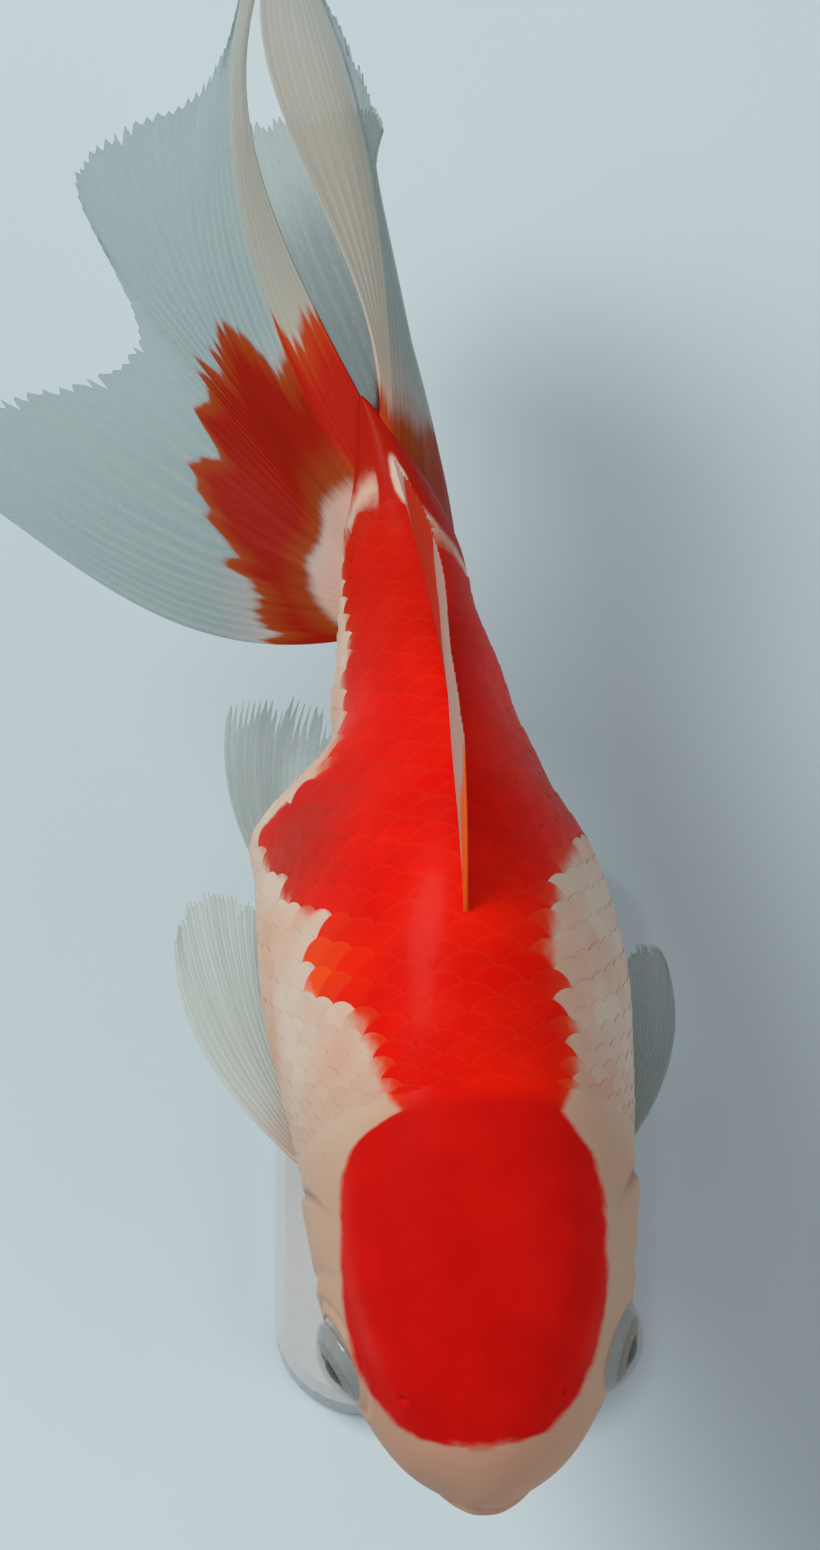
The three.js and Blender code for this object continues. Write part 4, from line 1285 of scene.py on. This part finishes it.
def dull_under_water(shader, coated=True):
    """A wet skin hardly shines while it is under water, so its gloss and its coat are faint."""
    shader.inputs["Specular IOR Level"].default_value = FAINT_GLOSS
    if coated:
        shader.inputs["Coat Weight"].default_value = FAINT_GLOSS
        shader.inputs["Coat Roughness"].default_value = FAINT_COAT_ROUGHNESS


# %% [markdown]
# The red is strongest on the crown, with a clear edge, and brighter and a little orange along the back. The
# white is a warm ivory with pink where blood shows through. The field that was stored in millimetres is
# roughened by noise before it is cut into red and white, so that the edge is soft and uneven within a
# millimetre.

# %% Colours shared by skin and scales
def fish_colour(tree):
    """The colour of a place on the fish, from the fields stored there."""
    edge_noise = calc(tree, "SUBTRACT", noise(tree, 2.2, 4), 0.5)
    rough_field = calc(tree, "MULTIPLY_ADD", edge_noise, 1.5, field(tree, "red"))
    is_red = ramp(tree, rough_field, -0.75, 0.75)
    inner = ramp(tree, rough_field, -0.2, 2.4)
    cloud = ramp(tree, noise(tree, 11, 3), 0.36, 0.66)
    back_red = blend(tree, cloud, tint(214, 14, 2), tint(226, 24, 3))
    red = blend(tree, inner, tint(214, 60, 22), back_red)
    crown = blend(tree, ramp(tree, noise(tree, 7, 4), 0.35, 0.7), tint(189, 11, 5), tint(199, 15, 7))
    # Painted highlight: a paler pink along each raised line of the crown.
    crown = blend(tree, some_of(tree, "canal", 0.35), crown, tint(200, 56, 46))
    red = blend(tree, field(tree, "cap"), red, crown)
    red = blend(tree, some_of(tree, "orange", 0.9), red, tint(232, 74, 12))
    # A brownish patch on the right flank, and painted shade on the left flank.
    red = blend(tree, some_of(tree, "rust", 0.8), red, tint(160, 34, 12))
    # The stalk's red darkens behind the left tail root, and toward the tail as painted shade.
    red = blend(tree, field(tree, "tail"), red, tint(162, 24, 7))
    blush = ramp(tree, noise(tree, 16, 3), 0.42, 0.68)
    white = blend(tree, blush, tint(202, 186, 170), tint(202, 168, 148))
    fleck = ramp(tree, noise(tree, 3.0, 5), 0.52, 0.75, 0.0, 0.35)
    white = blend(tree, fleck, white, tint(186, 166, 150))
    white = blend(tree, some_of(tree, "cheek", 0.75), white, tint(178, 141, 116))
    white = blend(tree, some_of(tree, "tip", 0.8), white, tint(190, 143, 119))
    colour = blend(tree, is_red, white, red)
    # Painted shade: a deep brown-red in the mouth's gap and the gill slots.
    return blend(tree, some_of(tree, "dark", 0.85), colour, tint(84, 34, 26))


# %% Skin
skin_material, tree, shader = new_material("fish_skin")
tree.links.new(fish_colour(tree), shader.inputs["Base Color"])
pores = calc(tree, "MULTIPLY_ADD", noise(tree, 0.7, 5), 0.6, noise(tree, 3.0, 3))
set_bumps(tree, shader, pores, 0.42, 0.16)
set_roughness(tree, shader, noise(tree, 2.5, 4), 0.40, 0.52)
dull_under_water(shader)

# %% [markdown]
# A scale is nearly clear and shows the colour beneath it. Its own marks are fine growth rings round the
# root, and a rim painted a little lighter, a painted highlight where its edge would catch the light.

# %% Scales
GROWTH_RINGS = 58.0

scale_material, tree, shader = new_material("fish_scales")
colour = fish_colour(tree)
# Painted highlight: each scale's rim is a little lighter, where its edge would catch the light.
rim = ramp(tree, field(tree, "rim"), 0.80, 0.99)
colour = blend(tree, calc(tree, "MULTIPLY", rim, 0.02), colour, tint(240, 150, 110))
tone = ramp(tree, field(tree, "tone"), -1.0, 1.0, 0.0, 0.10)
colour = blend(tree, tone, colour, tint(176, 34, 18))
tree.links.new(colour, shader.inputs["Base Color"])
on_scale = add(tree, "UVMap", uv_map="face_of_scale")
from_root = add(tree, "VectorMath", {0: on_scale, 1: (0.0, 0.45, 0.0)}, operation="ADD")
out_from_root = calc(tree, "MULTIPLY", length_of(tree, from_root), GROWTH_RINGS)
rings = calc(tree, "SINE", calc(tree, "MULTIPLY_ADD", noise(tree, 1.6, 3), 5.0, out_from_root))
height = calc(tree, "MULTIPLY_ADD", rings, 0.12, noise(tree, 1.2, 4))
set_bumps(tree, shader, height, 0.10, 0.08)
set_roughness(tree, shader, noise(tree, 2.0, 4), 0.38, 0.50)
dull_under_water(shader)

# %% [markdown]
# A membrane is a film that lets most light through, and a ray is a pale, jointed bone. How solid the fin is
# follows the stored ray field: little between the rays, more on them, and nearly full in the fleshy root
# and the red tongues.

# %% Fins: streaks along the rays, and where the red is
STREAKS_ACROSS, STREAKS_ALONG, RAY_JOINTS = 46.0, 3.0, 420.0

fin_material, tree, shader = new_material("fin_membrane")
ray = field(tree, "ray")
out = field(tree, "out")
strip = field(tree, "strip")
streak_place = {"X": some_of(tree, "across", STREAKS_ACROSS), "Y": calc(tree, "MULTIPLY", out, STREAKS_ALONG)}
streak = add(tree, "CombineXYZ", streak_place)
streaks = add(tree, "TexNoise", {"Vector": streak, "Scale": 1.0, "Detail": 4.0})
edge_noise = calc(tree, "SUBTRACT", streaks, 0.5)
red_edge = calc(tree, "MULTIPLY", edge_noise, ramp(tree, out, 0.1, 0.3, 1.4, 3.4))
red_edge = calc(tree, "MULTIPLY", red_edge, ramp(tree, field(tree, "calm"), 0.0, 1.0, 1.0, 0.4))
red_edge = calc(tree, "ADD", red_edge, field(tree, "red"))
red_edge = calc(tree, "MULTIPLY", red_edge, ramp(tree, field(tree, "calm"), 0.0, 1.0, 1.0, 0.55))
is_red = ramp(tree, red_edge, -1.1, 1.1)

# %% Fins: the red
deep = ramp(tree, red_edge, 0.3, 6.0)
# Painted light and shade: one red, lighter on the steep strip that faces the light, darker on the fan turned
# away.
shaded_fan_red = blend(tree, deep, tint(148, 62, 20), tint(144, 22, 5))
shaded_fan_red = blend(tree, ramp(tree, streaks, 0.45, 0.7, 0.0, 0.35), shaded_fan_red, tint(126, 20, 6))
lit_strip_red = blend(tree, deep, tint(170, 60, 18), tint(168, 24, 6))
red = blend(tree, strip, shaded_fan_red, lit_strip_red)
behind_edge = ramp(tree, field(tree, "across"), 0.02, 0.35)
back_fin_red = blend(tree, behind_edge, tint(226, 92, 26), tint(178, 42, 18))
red = blend(tree, field(tree, "fleshy"), red, back_fin_red)

# %% Fins: the pale film, its bones and the cream strip
joints = calc(tree, "SINE", calc(tree, "MULTIPLY", out, RAY_JOINTS))
bone = blend(tree, ramp(tree, joints, -0.2, 0.9, 0.0, 0.35), tint(176, 180, 174), tint(160, 162, 156))
film = blend(tree, ramp(tree, streaks, 0.35, 0.7), tint(114, 144, 148), tint(132, 158, 158))
film = blend(tree, some_of(tree, "calm", 0.5), film, tint(164, 174, 168))
pale = blend(tree, calc(tree, "MULTIPLY", ray, 0.35), film, bone)
# Partly the fins' own pale colour, partly painted light for light passing through them.
pale = blend(tree, some_of(tree, "milky", 0.8), pale, tint(220, 230, 225))
strip_cream = blend(tree, field(tree, "calm"), tint(166, 162, 150), tint(200, 192, 176))
pale = blend(tree, calc(tree, "MULTIPLY", strip, 0.8), pale, strip_cream)
pale = blend(tree, some_of(tree, "fleshy", 0.8), pale, tint(192, 146, 132))
pale = blend(tree, ramp(tree, out, 0.34, 0.02), pale, tint(205, 168, 152))
tree.links.new(blend(tree, is_red, pale, red), shader.inputs["Base Color"])

# %% Fins: how solid they are, and their surface
open_film = ramp(tree, out, 0.2, 1.0, 0.56, 0.38)
solid = calc(tree, "MULTIPLY_ADD", ray, 0.06, open_film)
solid = calc(tree, "MULTIPLY_ADD", edge_noise, 0.25, solid)
thick_strip = calc(tree, "MULTIPLY", strip, ramp(tree, out, 0.3, 1.0, 0.85, 0.45))
thick_root = ramp(tree, out, 0.30, 0.0, 0.0, 0.85)
red_flesh = calc(tree, "MULTIPLY", is_red, 0.96)
for thicker in (thick_strip, some_of(tree, "fleshy", 0.72), thick_root, red_flesh, 0.06):
    solid = calc(tree, "MAXIMUM", solid, thicker)
tree.links.new(calc(tree, "MINIMUM", solid, 1.0), shader.inputs["Alpha"])
height = calc(tree, "MULTIPLY_ADD", joints, 0.12, calc(tree, "MULTIPLY_ADD", ray, 0.6, streaks))
set_bumps(tree, shader, height, 0.10, 0.08)
set_roughness(tree, shader, streaks, 0.38, 0.52)
dull_under_water(shader, coated=False)

# %% [markdown]
# The iris is a ring of gold and silver flecks with a dark outer rim, and the ball behind it is a bluish
# silver. The lens is black and glossy. The dome is nearly clear over the iris, where it only carries the
# reflections, and toward its rim it turns a milky blue, a painted reflection for the sheen of a clear dome
# seen at a slant. It could be made of glass, but glass would keep the lamps' light off the iris, so it is a
# plain surface that is hardly there.

# %% The ball and its iris
ball_material, tree, shader = new_material("eye_ball")
radius = field(tree, "radius")
spoke_place = {"X": some_of(tree, "turn", 5.0), "Y": calc(tree, "MULTIPLY", radius, 1.2)}
spokes = add(tree, "CombineXYZ", spoke_place)
flecks = add(tree, "TexNoise", {"Vector": spokes, "Scale": 2.2, "Detail": 5.0, "Roughness": 0.65})
gold = blend(tree, ramp(tree, flecks, 0.35, 0.65), tint(86, 66, 46), tint(164, 132, 82))
gold = blend(tree, ramp(tree, radius, PUPIL_RADIUS + 0.05, PUPIL_RADIUS + 0.4), tint(176, 146, 92), gold)
gold = blend(tree, ramp(tree, radius, IRIS_EDGE - 0.9, IRIS_EDGE - 0.1), gold, tint(70, 66, 66))
silver = blend(tree, ramp(tree, noise(tree, 1.6, 4), 0.35, 0.7), tint(128, 140, 142), tint(164, 170, 166))
golden_rim = blend(tree, ramp(tree, flecks, 0.3, 0.6), tint(112, 84, 52), tint(160, 134, 92))
gilded = blend(tree, field(tree, "gilt"), silver, golden_rim)
silver = blend(tree, ramp(tree, radius, IRIS_EDGE + 0.2, IRIS_EDGE + 2.0), gilded, silver)
gold = blend(tree, ramp(tree, field(tree, "gilt"), 0.0, 1.0, 0.4, 1.0), silver, gold)
colour = blend(tree, ramp(tree, radius, IRIS_EDGE - 0.05, IRIS_EDGE + 0.25), gold, silver)
colour = blend(tree, ramp(tree, radius, PUPIL_RADIUS + 0.04, PUPIL_RADIUS - 0.1), colour, tint(6, 6, 8))
tree.links.new(colour, shader.inputs["Base Color"])
set_roughness(tree, shader, flecks, 0.25, 0.45)
set_bumps(tree, shader, flecks, 0.3, 0.08)

# %% The lens and the dome
lens_material, tree, shader = new_material("eye_lens")
tree.links.new(blend(tree, noise(tree, 1.0), tint(5, 5, 7), tint(14, 13, 18)), shader.inputs["Base Color"])
shader.inputs["Roughness"].default_value = 0.08

dome_material, tree, shader = new_material("eye_dome")
rim = field(tree, "rim")
haze = calc(tree, "SUBTRACT", noise(tree, 3.0, 2), 0.5)
solidity = calc(tree, "MULTIPLY_ADD", haze, 0.05, ramp(tree, rim, 0.5, 0.98, 0.1, 0.42))
# Painted reflection: a milky blue toward the rim for the sheen of a clear dome seen at a slant, and a warm
# colour at its very edge.
dome_tint_and_reflection = blend(tree, ramp(tree, rim, 0.35, 0.7), tint(24, 28, 32), tint(150, 163, 168))
dome_tint_and_reflection = blend(tree, ramp(tree, rim, 0.82, 0.98), dome_tint_and_reflection, tint(178, 160, 144))
tree.links.new(dome_tint_and_reflection, shader.inputs["Base Color"])
tree.links.new(calc(tree, "MAXIMUM", solidity, 0.06), shader.inputs["Alpha"])
shader.inputs["Roughness"].default_value = 0.06
shader.inputs["Coat Weight"].default_value = 1.0
shader.inputs["Coat Roughness"].default_value = 0.03

# %% [markdown]
# The stand is plain, so that the eye goes to the fish: a painted plate and two brushed rods. Paint is never
# quite even, and brushed metal has fine lines that run round a rod, so its noise is squeezed along the rod.

# %% Stand
plate_material, tree, shader = new_material("stand_paint")
grain = noise(tree, 0.5, 4)
paint = blend(tree, noise(tree, 25, 3), tint(172, 177, 180), tint(184, 188, 190))
tree.links.new(paint, shader.inputs["Base Color"])
set_roughness(tree, shader, grain, 0.40, 0.52)
set_bumps(tree, shader, grain, 0.12, 0.05)

rod_material, tree, shader = new_material("brushed_steel")
squeezed = add(tree, "VectorMath", {0: own_space(tree), 1: (1.0, 1.0, 14.0)}, operation="MULTIPLY")
lines = noise(tree, 2.0, 3, vector=squeezed)
tree.links.new(blend(tree, lines, tint(176, 178, 180), tint(204, 205, 206)), shader.inputs["Base Color"])
set_roughness(tree, shader, lines, 0.24, 0.40)
shader.inputs["Metallic"].default_value = 1.0

# %% [markdown]
# ## Putting it together
# Each new piece rides with the fish's one body, and the solids it stands for are hidden. The stand keeps its
# solids and only gets its finishes.

# %% Pieces take their materials and places
def finish_piece(piece, material, nodes):
    """Gives a piece its material, makes it ride with the fish's body and hides the solids it stands for."""
    piece.data.materials.clear()
    piece.data.materials.append(material)
    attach(piece, "root")
    if nodes:
        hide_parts(*nodes)


flesh = ["head", "lower_jaw", "gill_cover_left", "gill_cover_right", "trunk", "tail_stalk"]
finish_piece(skin, skin_material, flesh)
finish_piece(scales_right, scale_material, [])
finish_piece(scales_left, scale_material, [])
for name, fin in fins.items():
    finish_piece(fin, fin_material, [name])
for label, (eyeball, lens, dome) in eyes:
    finish_piece(eyeball, ball_material, ["eye_" + label])
    finish_piece(lens, lens_material, [])
    finish_piece(dome, dome_material, [])
stand = {"stand_base": plate_material, "stand_rod_front": rod_material, "stand_rod_rear": rod_material}
for name, material in stand.items():
    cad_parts[name].data.materials[0] = material
print("pieces:", 3 + len(fins) + 3 * len(eyes), "new and", len(stand), "kept")

# %% [markdown]
# ## Floor, light and camera
# The fish is looked down on from ahead of it, as it lies under the surface of a pond. The floor is plain
# and pale with a breath of blue, so that the clear fins stand out from it. One large lamp to the fish's
# right gives the back its shape, a weaker one fills the other side, and the world lifts the shadows.

# %% Floor
BACKDROP = tint(186, 199, 206)
FADE_START, FADE_END = 0.35, 1.1


def shown_to_rays(tree):
    """1 for rays that show the backdrop, straight, in a gloss or through glass. 0 for those that light."""
    path = tree.nodes.new("ShaderNodeLightPath")
    mirrored = calc(tree, "MAXIMUM", path.outputs["Is Glossy Ray"], path.outputs["Is Transmission Ray"])
    return calc(tree, "MAXIMUM", path.outputs["Is Camera Ray"], mirrored)


bpy.ops.object.select_all(action="DESELECT")
bpy.ops.mesh.primitive_plane_add(size=4.0)
floor = bpy.context.object
floor.name = "floor"
floor_material, tree, shader = new_material("floor_paper")
paper = blend(tree, noise(tree, 60, 2), tint(190, 205, 212), tint(194, 208, 214))
tree.links.new(paper, shader.inputs["Base Color"])
shader.inputs["Roughness"].default_value = 0.85
shader.inputs["Specular IOR Level"].default_value = 0.2
from_middle = ramp(tree, length_of(tree, own_space(tree)), FADE_START, FADE_END)
far = calc(tree, "MULTIPLY", from_middle, shown_to_rays(tree))
distance_haze = add(tree, "Emission", {"Color": BACKDROP, "Strength": 1.0})
mix_shaders(tree, far, shader.outputs[0], distance_haze, "Material Output")
floor.data.materials.append(floor_material)
print("floor:", round(floor.dimensions.x, 1), "m wide")

# %% Lamps
LAMP_COLOUR = (1.0, 0.975, 0.92)
LAMP_AIM = Vector((0.0, 0.02, 0.06))


def lamp(name, place, size, power):
    """A round lamp at this place, in metres, this wide and with this many watts, aimed at the fish."""
    data = bpy.data.lights.new(name, "AREA")
    data.color = LAMP_COLOUR
    data.shape, data.size, data.energy = "DISK", size, power
    made = bpy.data.objects.new(name, data)
    made.location = place
    made.rotation_euler = (LAMP_AIM - Vector(place)).to_track_quat("-Z", "Y").to_euler()
    bpy.context.scene.collection.objects.link(made)
    print("lamp:", name, power, "W")
    return made


lamp("key", (-0.75, 0.25, 1.1), 0.7, 13.5)
lamp("fill", (0.9, -0.6, 0.9), 1.0, 4.0).visible_glossy = False

# %% World
WORLD_STRENGTH = 0.36

world = bpy.data.worlds.new("studio")
world.use_nodes = True
tree = world.node_tree
light = tree.nodes["Background"]
light.inputs["Color"].default_value = (0.93, 0.96, 1.0, 1.0)
light.inputs["Strength"].default_value = WORLD_STRENGTH
shown = add(tree, "Background", {"Color": BACKDROP, "Strength": 1.0})
mix_shaders(tree, shown_to_rays(tree), light.outputs[0], shown, "World Output")
bpy.context.scene.world = world
print("world:", world.name)

# %% Camera
CAMERA_TARGET = np.array([-3.8, 24.6, AXIS_HEIGHT]) * MM
CAMERA_DISTANCE, CAMERA_HEIGHT, HALF_VIEW = 0.520, math.radians(70), math.radians(10)

camera_data = bpy.data.cameras.new("camera")
camera_data.sensor_width = 36.0
camera_data.lens = camera_data.sensor_width / 2 / math.tan(HALF_VIEW)
camera_data.clip_start = 0.01
camera = bpy.data.objects.new("camera", camera_data)
back_and_up = np.array([0.0, -math.cos(CAMERA_HEIGHT), math.sin(CAMERA_HEIGHT)])
camera.location = CAMERA_TARGET + CAMERA_DISTANCE * back_and_up
camera.rotation_euler = Vector(-back_and_up).to_track_quat("-Z", "Y").to_euler()
bpy.context.scene.collection.objects.link(camera)
bpy.context.scene.camera = camera
bpy.context.scene.view_settings.view_transform = "Standard"
print("camera:", round(camera_data.lens, 1), "mm lens at", [round(v, 3) for v in camera.location])
